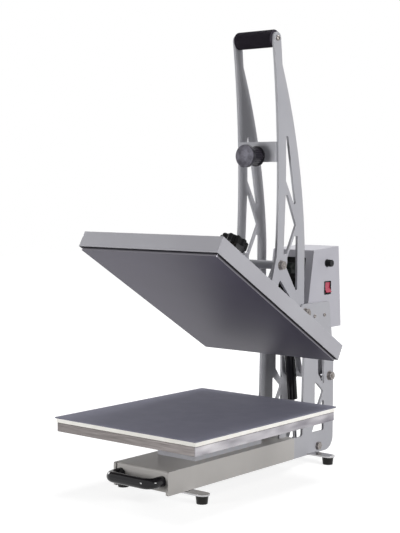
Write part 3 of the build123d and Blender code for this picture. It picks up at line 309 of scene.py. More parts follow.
def sawn_with_painted_sheen(name, sawn_low, sawn_high, sheen_low, sheen_high):
    """Aluminium plate: saw lines on the front and rear sides; the sides that face left and right are milled
    and glossier, and painted brighter as a painted reflection.
    """
    material, tree, shader, place = new_material(name)
    side = add_node(tree, "ShaderNodeTexCoord").outputs["Normal"]
    turned = add_node(
        tree, "ShaderNodeVectorMath", {"operation": "DOT_PRODUCT", 1: (1, 0, 0)}, {0: side}
    )
    square = add_node(
        tree,
        "ShaderNodeMath",
        {"operation": "ABSOLUTE"},
        {0: turned.outputs["Value"]},
    )
    # Sides facing left and right: glossier, and painted brighter as a reflection
    milled_sheen_mask = add_node(
        tree,
        "ShaderNodeMapRange",
        {"From Min": 0.35, "From Max": 0.8},
        {"Value": square.outputs["Value"]},
    )
    # Saw and cutter lines 1.5 mm apart, drawn out along the plate's edge
    lines = add_node(tree, "ShaderNodeMapping", {"Scale": (0.03, 0.03, 1.0)}, {"Vector": place})
    grain = add_node(
        tree,
        "ShaderNodeTexNoise",
        {"Scale": per_metre(1.5), "Detail": 3.0},
        {"Vector": lines.outputs["Vector"]},
    )
    sawn = shade_between(tree, shader, grain.outputs["Fac"], sawn_low, sawn_high)
    # Painted reflection on the milled sides: the tone drifts from mid grey to near white over some 60 mm
    waves = add_node(tree, "ShaderNodeMapping", {"Scale": (0.5, 0.5, 2.0)}, {"Vector": place})
    reflection_sweep = add_node(
        tree,
        "ShaderNodeTexNoise",
        {"Scale": per_metre(60), "Detail": 2.0},
        {"Vector": waves.outputs["Vector"]},
    )
    painted_reflection = shade_between(tree, shader, reflection_sweep.outputs["Fac"], sheen_low, sheen_high, 0.3, 0.75)
    # The sides that face left and right take the painted reflection; the front and rear keep the saw lines
    colour = add_node(
        tree,
        "ShaderNodeMix",
        {"data_type": "RGBA"},
        {0: milled_sheen_mask.outputs["Result"], 6: sawn.outputs["Color"], 7: painted_reflection.outputs["Color"]},
    )
    tree.links.new(colour.outputs[2], shader.inputs["Base Color"])
    gloss = add_node(
        tree,
        "ShaderNodeMapRange",
        {"To Min": 0.36, "To Max": 0.16},
        {"Value": milled_sheen_mask.outputs["Result"]},
    )
    tree.links.new(gloss.outputs["Result"], shader.inputs["Roughness"])
    rounded = add_node(tree, "ShaderNodeBevel", {"samples": 4, "Radius": 0.0008})
    bump = add_node(
        tree,
        "ShaderNodeBump",
        {"Strength": 0.1, "Distance": 0.0001},
        {"Height": grain.outputs["Fac"], "Normal": rounded.outputs["Normal"]},
    )
    tree.links.new(bump.outputs["Normal"], shader.inputs["Normal"])
    shader.inputs["Metallic"].default_value = 1.0
    return material


# How the arm leans: the heat plate faces down and forward along this direction
arm_tilt = math.radians(30.7)
plate_outward = (0, -math.sin(arm_tilt), -math.cos(arm_tilt))
armature_middle = sum((Vector(corner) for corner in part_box("armature_disc")), Vector()) / 2

# Laser-cut steel plate under light grey powder coat: half matt, with a faint peel
frame_coat = powder_coat("grey_powder_coat", "#a5a5ab", "#afafb4")
# The folded sheet of the upper cover, almost the same shade
cover_coat = powder_coat("cover_powder_coat", "#a6a5ab", "#aeaeb3", 0.4)
# The control box, a little lighter and with a lilac cast
box_coat = powder_coat("box_powder_coat", "#aeadb5", "#b8b7be", 0.4)
# The drawer, a warmer and glossier coat
drawer_coat = powder_coat("drawer_powder_coat", "#aca9a6", "#b8b5b2", 0.36)
# Foot plates of nickel-plated steel: bright, with the rolled grain of the sheet showing through
nickel_plate = turned_metal("nickel_plated_steel", "#adacae", "#c9c8ca", 0.24, 1.2, "Y")
# Zinc-plated screws, nuts, slides and pins: a little cloudy and warm
zinc_plate = turned_metal("zinc_plated_steel", "#716c6a", "#9c9794", 0.3, 2.0, "X")
# Ground shafts, spacers and rods: bright, with fine lines drawn out from side to side of the press
ground_steel = turned_metal("ground_steel", "#8d8c91", "#aaa9ad", 0.28, 0.7, "X")
# The armature that the magnet pulls: faced on a lathe, oiled and dull
armature_steel = faced_steel("faced_steel", "#2a292d", "#4d4c52", armature_middle, 0.34)
# The electromagnet: steel left as it was sawn
magnet_steel = turned_metal("sawn_steel", "#5f5e63", "#85848a", 0.38, 1.0, "X")
# Lower plate of cast aluminium: front and rear sides sawn and dull, left and right sides milled, and
# painted bright as a reflection
plate_aluminium = sawn_with_painted_sheen("plate_aluminium", "#5c5857", "#7b7675", "#77747b", "#d4d1d4")
# Gloss enamel of the pull handle and the gas spring
black_enamel = moulded("black_enamel", "#151417", "#1a191d", 0.11, 2.5, 0.03, 0.3)
# Feet of moulded rubber, smooth enough to shine
foot_rubber = moulded("moulded_rubber", "#141312", "#1e1c1b", 0.36, 0.9, 0.08, 0.25)
# Cellular rubber of the grip: dull, with a finely pitted face
grip_foam = moulded("nitrile_foam", "#37333c", "#403b45", 0.8, 0.7, 0.5, 0.12)
# Phenolic knob: hard, dark and shiny
phenolic = moulded("phenolic_moulding", "#050506", "#0a0a0c", 0.2, 1.2, 0.05, 0.12)
# Polyurethane buffer of the armature: dark grey and a little glassy
buffer_rubber = moulded("polyurethane_buffer", "#232127", "#2f2c33", 0.22, 1.0, 0.05, 0.4)
# Nylon housings of the switch, fuse and inlet, and the rim of the display's window
black_nylon = moulded("black_nylon", "#0c0d0f", "#151618", 0.4, 0.6, 0.12, 0.22)
# Smooth polycarbonate film over the display
display_film = moulded("polycarbonate_film", "#050706", "#090c0b", 0.24, 1.0, 0.02, 0.1)
# Glass of the liquid-crystal window, a green grey when it is off
display_glass = moulded("crystal_window", "#161e1a", "#1b2420", 0.08, 1.5, 0.01, 0.3)
# Red rocker, moulded glossy
rocker_red = moulded("red_polycarbonate", "#9c1f38", "#b83a56", 0.2, 1.0, 0.03, 0.5)
# Push buttons of grey silicone
button_grey = moulded("grey_silicone", "#7d7e82", "#8b8c90", 0.5, 0.5, 0.1, 0.3)
# White print of the marks on the buttons
white_print = moulded("screen_print", "#c6c7c8", "#d0d1d2", 0.5, 0.4, 0.05, 0.3)
# Glass-fibre circuit board under green solder mask
board_green = moulded("solder_mask", "#1c5a33", "#26703f", 0.35, 2.0, 0.1)
# Ceramic-fibre blanket between the heater and its cover
fibre_blanket = moulded("ceramic_fibre", "#d9d5cb", "#eae6dd", 0.95, 3.0, 0.8, 0.1)
# Non-stick fluoropolymer on the heat plate: dark lilac grey, satin, with a sprayed speckle
heat_coating = coated_aluminium(
    "fluoropolymer_coating", "#3e3a4a", "#474255", "#77757b", plate_outward
)
# Slate silicone sheet on the lower platen: matt and even, with a fine grain
slate_pad = moulded("slate_silicone", "#767684", "#7b7b89", 0.72, 0.9, 0.3, 0.2)
# White closed-cell silicone sponge under the pad
white_sponge = moulded("silicone_sponge", "#f4f1ea", "#fcfaf5", 0.8, 1.1, 0.5, 0.3)

finishes = {
    frame_coat: (
        "frame_plate_left frame_plate_right handle_plate_left handle_plate_right handle_tubes"
        " cross_plate arm_plate_left arm_plate_right arm_crossbars spindle_deck toggle_links"
        " platen_carrier standoffs"
    ),
    cover_coat: "platen_cover",
    box_coat: "control_box box_rear_cover",
    drawer_coat: "drawer_side_left drawer_side_right drawer_cover",
    nickel_plate: "foot_plates",
    zinc_plate: (
        "frame_fasteners handle_fasteners spring_bolt outer_rails middle_rails inner_rails"
        " slide_brackets arm_pins platen_studs"
    ),
    ground_steel: "pivot_shafts pivot_spacers guide_rods spring_rod",
    magnet_steel: "electromagnet",
    armature_steel: "armature_disc",
    plate_aluminium: "lower_platen",
    black_enamel: "pull_handle spring_body",
    foot_rubber: "rubber_feet lead_grommet",
    phenolic: "pressure_knob",
    buffer_rubber: "armature_buffer",
    black_nylon: "switch_bezel fuse_holder fuse_cap mains_inlet",
    display_film: "display_panel",
    rocker_red: "switch_rocker",
    button_grey: "panel_button_1 panel_button_2 panel_button_3 panel_button_4",
    board_green: "control_board",
    heat_coating: "heat_plate",
}
for material, names in finishes.items():
    for name in names.split():
        for slot in nodes[name].material_slots:
            slot.material = material


# Camera, where the photographer stood
camera_data = bpy.data.cameras.new("camera")
camera_data.lens = 81.79
camera_data.sensor_width = 36
camera = bpy.data.objects.new("camera", camera_data)
camera.location = (1.7029, -2.1870, 0.6652)
camera.rotation_euler = (math.radians(86.24), math.radians(-0.21), math.radians(39.41))
scene.collection.objects.link(camera)
scene.camera = camera


# Modelling steps that the pieces share

def edit(piece):
    """Opens a piece for editing."""
    bpy.context.view_layer.objects.active = piece
    bpy.ops.object.mode_set(mode="EDIT")
    bpy.ops.mesh.select_all(action="DESELECT")


def pick(piece, kind, test):
    """Selects the faces or edges of the open piece whose middle passes a test."""
    bpy.ops.mesh.select_mode(type=kind)
    bpy.ops.mesh.select_all(action="DESELECT")
    mesh = bmesh.from_edit_mesh(piece.data)
    for part in mesh.faces if kind == "FACE" else mesh.edges:
        middle = sum((corner.co for corner in part.verts), Vector()) / len(part.verts)
        part.select_set(bool(test(middle, part)))
    mesh.select_flush_mode()
    bmesh.update_edit_mesh(piece.data)


def close(piece):
    """Ends editing, with the faces turned to one side, which Blender takes to be the outside."""
    bpy.ops.mesh.select_all(action="SELECT")
    bpy.ops.mesh.normals_make_consistent(inside=False)
    bpy.ops.object.mode_set(mode="OBJECT")


def only(*chosen):
    """Selects these pieces and nothing else."""
    bpy.ops.object.select_all(action="DESELECT")
    for piece in chosen:
        piece.select_set(True)
    bpy.context.view_layer.objects.active = chosen[0]


def apply_place(piece):
    """Writes a piece's place, turn and scale into its mesh."""
    only(piece)
    bpy.ops.object.transform_apply(location=True, rotation=True, scale=True)
    return piece


def modify(piece, kind, **settings):
    """Adds a modifier with its settings and applies it."""
    only(piece)
    modifier = piece.modifiers.new(kind.lower(), kind)
    for name, value in settings.items():
        setattr(modifier, name, value)
    bpy.ops.object.modifier_apply(modifier=modifier.name)
    return piece


def standing(place, outward, up=(0, 0, 1)):
    """Matrix that stands a piece, modelled with Z outwards and Y up, on a face of the press."""
    z = Vector(outward).normalized()
    x = Vector(up).cross(z).normalized()
    turn = Matrix((x, z.cross(x), z)).transposed().to_4x4()
    return Matrix.Translation(place) @ turn


def put(piece, matrix):
    """Moves a piece to its place in the press."""
    piece.matrix_world = matrix @ piece.matrix_world
    return apply_place(piece)


def join(name, *parts):
    """Joins parts into one piece with this name."""
    only(*parts)
    bpy.ops.object.join()
    parts[0].name = name
    return parts[0]


def settle(piece, name, material, body, smooth=35):
    """Names a finished piece, gives it its finish and hands it to the body that carries it."""
    apply_place(piece)
    piece.name = name
    piece.data.materials.clear()
    piece.data.materials.append(material)
    bpy.ops.object.shade_smooth_by_angle(angle=math.radians(smooth))
    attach(piece, body)
    bpy.ops.object.select_all(action="DESELECT")
    return piece


# Screws, nuts and threads

def hex_recess(angle, size):
    """How far the edge of a hex socket is from its middle, in this direction."""
    return size * math.cos(math.pi / 6) / math.cos(angle % (math.pi / 3) - math.pi / 6)


def cross_recess(angle, size):
    """How far the edge of a cross recess is from its middle, in this direction."""
    along, across = abs(math.cos(angle)), abs(math.sin(angle))
    arm = size * math.tan(math.radians(15))
    reach = min(size / max(along, 1e-6), arm / max(across, 1e-6))
    return max(reach, min(size / max(across, 1e-6), arm / max(along, 1e-6)))


def screw_head(radius, height, recess, size, depth):
    """Domed screw head standing on the origin, with its recess pressed in."""
    bpy.ops.mesh.primitive_cylinder_add(
        vertices=24, radius=radius, depth=height, location=(0, 0, height / 2)
    )
    piece = apply_place(bpy.context.object)
    edit(piece)
    pick(piece, "EDGE", lambda middle, edge: all(v.co.z > height * 0.99 for v in edge.verts))
    dome = height * 0.6
    bpy.ops.mesh.bevel(offset=dome, segments=4, affect="EDGES")
    pick(piece, "FACE", lambda middle, face: face.normal.z > 0.99 and middle.length < height * 1.01)
    bpy.ops.mesh.inset(thickness=radius - dome - size)
    mesh = bmesh.from_edit_mesh(piece.data)
    for corner in [v for v in mesh.verts if v.select]:
        angle = math.atan2(corner.co.y, corner.co.x)
        reach = recess(angle, size)
        corner.co.x, corner.co.y = reach * math.cos(angle), reach * math.sin(angle)
    bmesh.update_edit_mesh(piece.data)
    bpy.ops.mesh.extrude_region_move(TRANSFORM_OT_translate={"value": (0, 0, -depth)})
    bpy.ops.transform.resize(value=(0.85, 0.85, 1))
    close(piece)
    return piece


def washer(outer, inner, thickness):
    """Stamped washer on the origin, its upper edge rounded by the punch."""
    bpy.ops.mesh.primitive_cylinder_add(
        vertices=48, radius=outer, depth=thickness, location=(0, 0, thickness / 2)
    )
    piece = apply_place(bpy.context.object)
    edit(piece)
    pick(piece, "EDGE", lambda middle, edge: all(v.co.z > thickness * 0.99 for v in edge.verts))
    bpy.ops.mesh.bevel(offset=thickness * 0.35, segments=2, affect="EDGES")
    pick(piece, "FACE", lambda middle, face: abs(face.normal.z) > 0.99 and middle.xy.length < 1e-5)
    bpy.ops.mesh.inset(thickness=outer - thickness * 0.35 - inner)
    close(piece)
    return piece


def hex_nut(across, thickness, foot):
    """Hex nut from a height above the origin, with the corners turned down to a cone at both ends."""
    bpy.ops.mesh.primitive_cylinder_add(
        vertices=6,
        radius=across / math.sqrt(3),
        depth=thickness,
        location=(0, 0, foot + thickness / 2),
        rotation=(0, 0, math.radians(30)),
    )
    nut = apply_place(bpy.context.object)
    bpy.ops.mesh.primitive_cylinder_add(
        vertices=48, radius=across * 0.64, depth=thickness, location=(0, 0, foot + thickness / 2)
    )
    cone = apply_place(bpy.context.object)
    edit(cone)
    pick(cone, "EDGE", lambda middle, edge: abs(edge.verts[0].co.z - edge.verts[1].co.z) < 1e-6)
    bpy.ops.mesh.bevel(
        offset_type="OFFSET", offset=across * 0.14, segments=1, affect="EDGES"
    )
    pick(
        cone,
        "FACE",
        lambda middle, face: abs(face.normal.z) > 0.99 and middle.xy.length < 1e-5,
    )
    bpy.ops.transform.resize(value=(0.97, 0.97, 1))
    close(cone)
    modify(nut, "BOOLEAN", operation="INTERSECT", solver="EXACT", object=cone)
    bpy.data.objects.remove(cone)
    return nut


def threaded_rod(radius, pitch, length, foot=0.0):
    """Rod along Z with a real helical thread and closed ends."""
    root = radius - pitch * 0.45
    bpy.ops.mesh.primitive_cylinder_add(
        vertices=36, radius=root, depth=length, location=(0, 0, foot + length / 2)
    )
    core = apply_place(bpy.context.object)
    edit(core)
    pick(core, "EDGE", lambda middle, edge: abs(edge.verts[0].co.z - edge.verts[1].co.z) < 1e-6)
    bpy.ops.mesh.bevel(offset=pitch * 0.25, segments=1, affect="EDGES")
    close(core)
    # One turn's section of the ridge: a square stood on edge, its outer side pinched
    bpy.ops.mesh.primitive_plane_add(
        size=pitch * 0.8,
        location=(root + pitch * 0.05, 0, foot + pitch * 0.5),
        rotation=(math.radians(90), 0, 0),
    )
    ridge = apply_place(bpy.context.object)
    edit(ridge)
    mesh = bmesh.from_edit_mesh(ridge.data)
    middle_height = foot + pitch * 0.5
    for corner in mesh.verts:
        outside = corner.co.x > root + pitch * 0.05
        corner.co.x = radius if outside else root - pitch * 0.1
        pinch = 0.3 if outside else 1.1
        corner.co.z = middle_height + (corner.co.z - middle_height) * pinch
    bmesh.update_edit_mesh(ridge.data)
    bpy.ops.mesh.select_all(action="SELECT")
    bpy.ops.mesh.delete(type="ONLY_FACE")
    bpy.ops.object.mode_set(mode="OBJECT")
    turns = int(length / pitch) - 1
    modify(
        ridge,
        "SCREW",
        screw_offset=pitch,
        iterations=turns,
        steps=24,
        render_steps=24,
        use_merge_vertices=False,
    )
    edit(ridge)
    bpy.ops.mesh.select_all(action="SELECT")
    bpy.ops.mesh.fill_holes(sides=4)
    close(ridge)
    return join("thread", core, ridge)


side_faces = (1, -1)


def pair(make, place, half):
    """Makes a part once for each side of the press, standing on the outer faces of its plates."""
    made = []
    for way in side_faces:
        spot = (way * half, place[0], place[1])
        made.append(put(make(), standing(spot, (way, 0, 0))))
    return made


# Outer faces of the plates, and the places of the shafts and screws seen from the side
frame_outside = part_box("frame_plate_right")[1][0]
handle_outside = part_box("handle_plate_right")[1][0]
arm_pivot = (0.3105, 0.2015)
handle_pivot = (0.2035, 0.3655)
knee = (0.1115, 0.4835)
grip_middle = (0.0915, 1.0065)
box_screws = ((0.2435, 0.354), (0.2855, 0.354))

# Hex nuts 19 mm across flats, on the thread of the shafts and of the knee bolt
nut_across = 0.019
washer_bore = 0.006
thread_radius = 0.0048
thread_pitch = 0.0014


def pivot_nut():
    """Nut, washer and thread end of the shafts that carry the arm and the handle."""
    return join(
        "pivot_nut",
        washer(0.0118, washer_bore, 0.0012),
        hex_nut(nut_across, 0.009, 0.0012),
        threaded_rod(thread_radius, thread_pitch, 0.0124),
    )


def knee_nut():
    """Nut, washer and thread end of the knee bolt."""
    return join(
        "knee_nut",
        washer(0.0114, washer_bore, 0.002),
        hex_nut(nut_across, 0.008, 0.002),
        threaded_rod(thread_radius, thread_pitch, 0.012),
    )


def box_screw():
    """Cross-head screw that holds the control box between the column plates."""
    return screw_head(0.0045, 0.003, cross_recess, 0.0021, 0.0014)


def grip_screw():
    """Hex-socket screw in the end of the grip tube."""
    return screw_head(0.0064, 0.0045, hex_recess, 0.0027, 0.0024)


frame_bolts = join(
    "frame_bolts",
    *pair(pivot_nut, arm_pivot, frame_outside),
    *pair(pivot_nut, handle_pivot, frame_outside),
    *pair(box_screw, box_screws[0], frame_outside),
    *pair(box_screw, box_screws[1], frame_outside),
)
settle(frame_bolts, "frame_bolts", zinc_plate, "frame", 30)
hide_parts("frame_fasteners")

handle_bolts = join(
    "handle_bolts",
    *pair(knee_nut, knee, handle_outside),
    *pair(grip_screw, grip_middle, handle_outside),
)
knee_bolt_radius = 0.005
bpy.ops.mesh.primitive_cylinder_add(
    vertices=32,
    radius=knee_bolt_radius,
    depth=2 * handle_outside,
    location=(0, *knee),
    rotation=(0, math.pi / 2, 0),
)
knee_shank = modify(apply_place(bpy.context.object), "BEVEL", width=0.0004, segments=2)
handle_bolts = join("handle_bolts", handle_bolts, knee_shank)
settle(handle_bolts, "handle_bolts", zinc_plate, "handle", 30)
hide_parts("handle_fasteners")

# Pressure spindle, a trapezoidal thread that stands square to the platen
spindle_pitch = 0.002
spindle_low, spindle_high = (Vector(corner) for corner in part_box("pressure_spindle"))
spindle_middle = (spindle_low + spindle_high) / 2
spindle_axis = Vector((0, math.sin(arm_tilt), math.cos(arm_tilt)))
spindle_radius = spindle_high.x
spindle_rise = spindle_high.z - spindle_low.z - 2 * spindle_radius * math.sin(arm_tilt)
spindle_length = spindle_rise / math.cos(arm_tilt)
spindle_foot = spindle_middle - spindle_axis * spindle_length / 2
spindle = put(
    threaded_rod(spindle_radius, spindle_pitch, spindle_length),
    standing(spindle_foot, spindle_axis),
)
settle(spindle, "spindle_thread", zinc_plate, "knob", 30)
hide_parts("pressure_spindle")


# Welds: the beads where round pieces join the plates

def weld_ring(radius, bead, ripples):
    """Weld bead round a tube: a ring whose section swells with each drop of the pass."""
    bpy.ops.mesh.primitive_torus_add(
        major_segments=ripples * 6, minor_segments=8, major_radius=radius, minor_radius=bead
    )
    ring = apply_place(bpy.context.object)
    for corner in ring.data.vertices:
        angle = math.atan2(corner.co.y, corner.co.x)
        middle = Vector((radius * math.cos(angle), radius * math.sin(angle), 0))
        swell = 0.86 + 0.14 * math.cos(angle * ripples)
        corner.co = middle + (corner.co - middle) * swell
    return ring


def weld_pair(name, radius, bead, place, half, body, ripples):
    """Two weld rings on the inner faces of a pair of plates."""
    rings = []
    for way in side_faces:
        ring = weld_ring(radius, bead, ripples)
        rings.append(put(ring, standing((way * half, place[0], place[1]), (way, 0, 0))))
    welds = join(name, *rings)
    return settle(welds, name, frame_coat, body, 60)


handle_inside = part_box("handle_plate_right")[0][0]
arm_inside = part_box("arm_plate_right")[0][0]
# The toggle links turn 1 mm inside the handle plates, so the knee's beads are thinner than that
knee_bead = 0.0009
knee_weld_radius = 0.0102
knee_ripples = 18
hub_bead = 0.0016
hub_weld_radius = 0.0122
hub_ripples = 20
weld_pair("knee_welds", knee_weld_radius, knee_bead, knee, handle_inside, "handle", knee_ripples)
weld_pair("hub_welds", hub_weld_radius, hub_bead, arm_pivot, arm_inside, "arm", hub_ripples)


# Soft pieces

# Spans that a slab is cut into along X, Y and Z, so that its sides can wander
slab_spans = (16, 20, 2)


def cut_slab(node, corner, edge, swell, waves, stretch):
    """Sheet cut from a roll to a node's size, with eased edges and sides that are never quite true."""
    low, high = (Vector(end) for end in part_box(node))
    size = high - low
    bpy.ops.mesh.primitive_cube_add(size=1, location=(low + high) / 2, scale=size)
    slab = apply_place(bpy.context.object)
    edit(slab)
    pick(
        slab,
        "EDGE",
        lambda middle, one: abs(one.verts[0].co.z - one.verts[1].co.z) > size.z * 0.5,
    )
    bpy.ops.mesh.bevel(offset=corner, segments=5, affect="EDGES")
    pick(
        slab,
        "EDGE",
        lambda middle, one: abs(one.verts[0].co.z - one.verts[1].co.z) < 1e-6,
    )
    bpy.ops.mesh.bevel(offset=edge, segments=3, affect="EDGES")
    for axis, count in enumerate(slab_spans):
        for cut in range(1, count):
            place = low.copy()
            place[axis] += size[axis] * cut / count
            normal = [0, 0, 0]
            normal[axis] = 1
            bpy.ops.mesh.select_all(action="SELECT")
            bpy.ops.mesh.bisect(plane_co=place, plane_no=normal)
    middle = (low + high) / 2
    pick(slab, "EDGE", lambda spot, one: all(abs(v.co.z - middle.z) < 1e-6 for v in one.verts))
    pull = (1 - 2 * swell / size.x, 1 - 2 * swell / size.y, 1)
    bpy.ops.transform.resize(value=pull, center_override=middle)
    close(slab)
    drift = bpy.data.textures.new(node + "_drift", "CLOUDS")
    drift.noise_scale = stretch
    for direction in ("X", "Y"):
        modify(
            slab,
            "DISPLACE",
            texture=drift,
            direction=direction,
            strength=waves,
            mid_level=0.5,
            texture_coords="LOCAL",
        )
    return slab


sponge = cut_slab("silicone_sponge", 0.004, 0.0008, 0.0005, 0.0008, 0.06)
settle(sponge, "sponge_slab", white_sponge, "drawer", 50)
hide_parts("silicone_sponge")

pad = cut_slab("top_pad", 0.003, 0.0005, 0.0, 0.0004, 0.09)
settle(pad, "slate_sheet", slate_pad, "drawer", 50)
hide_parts("top_pad")

# Foam sleeve of the grip: a bored cylinder over the handle's tube, with rounded ends
grip_low, grip_high = (Vector(corner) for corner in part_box("foam_grip"))
grip_radius = (grip_high.z - grip_low.z) / 2
grip_length = grip_high.x - grip_low.x
bore_radius = 0.011
end_rounding = 0.0035
sleeve_spans = 12
bpy.ops.mesh.primitive_cylinder_add(
    vertices=64,
    radius=grip_radius,
    depth=grip_length,
    location=(grip_low + grip_high) / 2,
    rotation=(0, math.pi / 2, 0),
)
sleeve = apply_place(bpy.context.object)
edit(sleeve)
pick(sleeve, "FACE", lambda middle, face: abs(face.normal.x) > 0.99)
bpy.ops.mesh.inset(thickness=grip_radius - bore_radius)
bpy.ops.mesh.bridge_edge_loops()
pick(
    sleeve,
    "EDGE",
    lambda middle, one: all(
        abs(v.co.x) > grip_length * 0.49
        and (v.co - (grip_low + grip_high) / 2).yz.length > grip_radius * 0.9
        for v in one.verts
    ),
)
bpy.ops.mesh.bevel(offset=end_rounding, segments=5, affect="EDGES")
for cut in range(1, sleeve_spans):
    bpy.ops.mesh.select_all(action="SELECT")
    bpy.ops.mesh.bisect(
        plane_co=(grip_low.x + grip_length * cut / sleeve_spans, 0, 0), plane_no=(1, 0, 0)
    )
close(sleeve)
# The bored tube comes out of editing inside out, so its faces are turned outwards
sleeve.data.flip_normals()
settle(sleeve, "foam_sleeve", grip_foam, "handle", 50)
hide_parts("foam_grip")

# Fibre blanket inside the upper cover: the CAD form, with its cut edges eased
blanket = nodes["insulation_blanket"].copy()
blanket.data = blanket.data.copy()
blanket.parent = None
scene.collection.objects.link(blanket)
for key in [key for key in blanket.keys() if key.startswith("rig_")]:
    del blanket[key]
edit(blanket)
bpy.ops.mesh.select_all(action="SELECT")
bpy.ops.mesh.remove_doubles(threshold=0.00001)
bpy.ops.mesh.dissolve_limited(angle_limit=math.radians(2))
close(blanket)
modify(
    blanket,
    "BEVEL",
    width=0.0012,
    segments=2,
    limit_method="ANGLE",
    angle_limit=math.radians(50),
)
settle(blanket, "fibre_layer", fibre_blanket, "platen", 50)
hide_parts("insulation_blanket")

# Front of the control box: the window of the display and marks on the four buttons
box_foot = Vector((0, 0.2125, 0.320))
box_brow = Vector((0, 0.2475, 0.5135))
face_up = (box_brow - box_foot).normalized()
face_out = Vector((0, -face_up.z, face_up.y))
panel_proud = 0.0006
window_along = 0.150
window_width = 0.056
window_height = 0.024
window_rim = 0.003
rim_thickness = 0.0014
rim_recess = 0.0009
glass_thickness = 0.0004
glass_proud = 0.0006


def plate(width, height, thickness, corner, edge):
    """Flat plate on the origin with rounded corners and eased upper edges."""
    bpy.ops.mesh.primitive_cube_add(
        size=1, location=(0, 0, thickness / 2), scale=(width, height, thickness)
    )
    piece = apply_place(bpy.context.object)
    edit(piece)
    pick(
        piece,
        "EDGE",
        lambda middle, one: abs(one.verts[0].co.z - one.verts[1].co.z) > thickness * 0.5,
    )
    bpy.ops.mesh.bevel(offset=corner, segments=4, affect="EDGES")
    pick(piece, "EDGE", lambda middle, one: all(v.co.z > thickness * 0.99 for v in one.verts))
    bpy.ops.mesh.bevel(offset=edge, segments=2, affect="EDGES")
    close(piece)
    return piece


def on_face(along, across=0.0, proud=0.0):
    """Matrix of a place on the front of the control box."""
    place = box_foot + face_up * along + face_out * (panel_proud + proud) + Vector((across, 0, 0))
    return standing(place, face_out, face_up)


rim = plate(
    window_width + 2 * window_rim, window_height + 2 * window_rim, rim_thickness, 0.003, 0.0005
)
edit(rim)
pick(rim, "FACE", lambda middle, face: face.normal.z > 0.99)
bpy.ops.mesh.inset(thickness=window_rim * 0.7)
bpy.ops.mesh.extrude_region_move(TRANSFORM_OT_translate={"value": (0, 0, -rim_recess)})
close(rim)
settle(put(rim, on_face(window_along)), "window_rim", black_nylon, "frame")
glass = plate(window_width, window_height, glass_thickness, 0.0012, 0.0001)
put(glass, on_face(window_along, proud=glass_proud))
settle(glass, "window_glass", display_glass, "frame")

button_along = 0.096
button_pitch = 0.019
# Marks let into the button faces by a hair, which stand 2.6 mm out from the box
mark_foot = 0.00257
mark_radius = 0.0016
mark_thickness = 0.0002
mark_corners = (3, 3, 24, 4)
mark_turns = (0, 180, 0, 45)
for number in range(4):
    bpy.ops.mesh.primitive_cylinder_add(
        vertices=mark_corners[number],
        radius=mark_radius,
        depth=mark_thickness,
        location=(0, 0, mark_thickness / 2),
        rotation=(0, 0, math.radians(mark_turns[number])),
    )
    mark = modify(apply_place(bpy.context.object), "BEVEL", width=0.00006, segments=1)
    across = (number - 1.5) * button_pitch
    put(mark, on_face(button_along, across, mark_foot - panel_proud))
    settle(mark, f"button_mark_{number + 1}", white_print, f"button_{number + 1}")

# Rear of the control box: four cover screws and two for the mains inlet
rear_foot = Vector((0, 0.3685, 0.320))
rear_brow = Vector((0, 0.3555, 0.520))
rear_up = (rear_brow - rear_foot).normalized()
rear_out = Vector((0, rear_up.z, -rear_up.y))
rear_length = (rear_brow - rear_foot).length
cover_screw_across = 0.0535
cover_screw_inset = 0.012
inlet_screw_across = 0.0195
inlet_screw_along = 0.042
inlet_flange = 0.002


def on_rear(across, along, proud=0.0):
    """Matrix of a place on the rear of the control box."""
    place = rear_foot + rear_up * along + rear_out * proud + Vector((across, 0, 0))
    return standing(place, rear_out, rear_up)


rear_screws = []
for way in (-1, 1):
    for along in (cover_screw_inset, rear_length - cover_screw_inset):
        cover_screw = screw_head(0.0035, 0.0018, cross_recess, 0.0018, 0.001)
        rear_screws.append(put(cover_screw, on_rear(way * cover_screw_across, along)))
    inlet_screw = screw_head(0.0028, 0.0009, cross_recess, 0.0014, 0.0006)
    inlet_place = on_rear(way * inlet_screw_across, inlet_screw_along, inlet_flange)
    rear_screws.append(put(inlet_screw, inlet_place))
settle(join("rear_screws", *rear_screws), "rear_screws", zinc_plate, "frame", 30)


# Floor and light

# Shade of the paper, how bright it looks beside the press, and how much light the room bounces back
floor_shade = 0.36
floor_glow_near = 0.8
room_bounce = 0.15


def any_view_ray(tree):
    """One where the eye, a reflection or clear plastic looks, nought where light only bounces."""
    seen = add_node(tree, "ShaderNodeLightPath").outputs
    direct = add_node(
        tree,
        "ShaderNodeMath",
        {"operation": "MAXIMUM"},
        {0: seen["Is Camera Ray"], 1: seen["Is Glossy Ray"]},
    )
    every = add_node(
        tree,
        "ShaderNodeMath",
        {"operation": "MAXIMUM"},
        {0: direct.outputs["Value"], 1: seen["Is Transmission Ray"]},
    )
    return every.outputs["Value"]


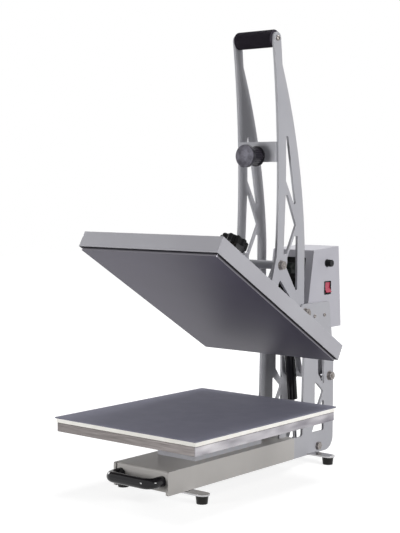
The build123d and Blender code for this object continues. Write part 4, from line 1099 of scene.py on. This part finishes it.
def floor_paper():
    """White paper floor: white to the eye and in reflections, and it keeps a soft shadow near the press."""
    material = bpy.data.materials.new("studio_floor")
    material.use_nodes = True
    tree = material.node_tree
    tree.nodes.clear()
    place = add_node(tree, "ShaderNodeTexCoord").outputs["Object"]
    away = add_node(tree, "ShaderNodeVectorMath", {"operation": "LENGTH"}, {0: place})
    level = add_node(
        tree,
        "ShaderNodeMapRange",
        {"From Min": 0.5, "From Max": 2.0, "To Min": floor_glow_near, "To Max": 1.0},
        {"Value": away.outputs["Value"]},
    )
    glow_level = add_node(
        tree,
        "ShaderNodeMath",
        {"operation": "MULTIPLY"},
        {0: level.outputs["Result"], 1: any_view_ray(tree)},
    )
    paint = add_node(tree, "ShaderNodeBsdfDiffuse", {"Color": (floor_shade,) * 3 + (1.0,)})
    glow = add_node(
        tree,
        "ShaderNodeEmission",
        {"Color": (1, 1, 1, 1)},
        {"Strength": glow_level.outputs["Value"]},
    )
    both = add_node(
        tree, "ShaderNodeAddShader", links={0: paint.outputs["BSDF"], 1: glow.outputs["Emission"]}
    )
    add_node(tree, "ShaderNodeOutputMaterial", links={"Surface": both.outputs["Shader"]})
    return material


bpy.ops.mesh.primitive_plane_add(size=14, location=(0, 0, 0))
floor = bpy.context.object
floor.name = "studio_floor"
floor.data.materials.append(floor_paper())

world = bpy.data.worlds.new("studio")
scene.world = world
world.use_nodes = True
sky = world.node_tree
sky.nodes.clear()
strength = add_node(
    sky, "ShaderNodeMapRange", {"To Min": room_bounce, "To Max": 1.0}, {"Value": any_view_ray(sky)}
)
backdrop = add_node(
    sky, "ShaderNodeBackground", {"Color": (1, 1, 1, 1)}, {"Strength": strength.outputs["Result"]}
)
add_node(sky, "ShaderNodeOutputWorld", links={"Surface": backdrop.outputs["Background"]})


def soft_lamp(name, place, target, size, watts):
    """Adds a square soft box at a place, facing a target."""
    lamp = bpy.data.lights.new(name, "AREA")
    lamp.shape = "SQUARE"
    lamp.size = size
    lamp.energy = watts
    holder = bpy.data.objects.new(name, lamp)
    holder.location = place
    holder.rotation_euler = (Vector(target) - Vector(place)).to_track_quat("-Z", "Y").to_euler()
    scene.collection.objects.link(holder)


soft_lamp("overhead_box", (-0.2, 0.9, 3.2), (0, 0, 0.3), 1.6, 66)
soft_lamp("right_box", (3.2, 0.1, 1.0), (0, 0, 0.5), 0.9, 74)
soft_lamp("left_box", (-3.2, 0.4, 1.3), (0, 0, 0.5), 1.2, 30)
soft_lamp("front_box", (-1.2, -3.1, 0.62), (0, 0, 0.45), 1.0, 60)
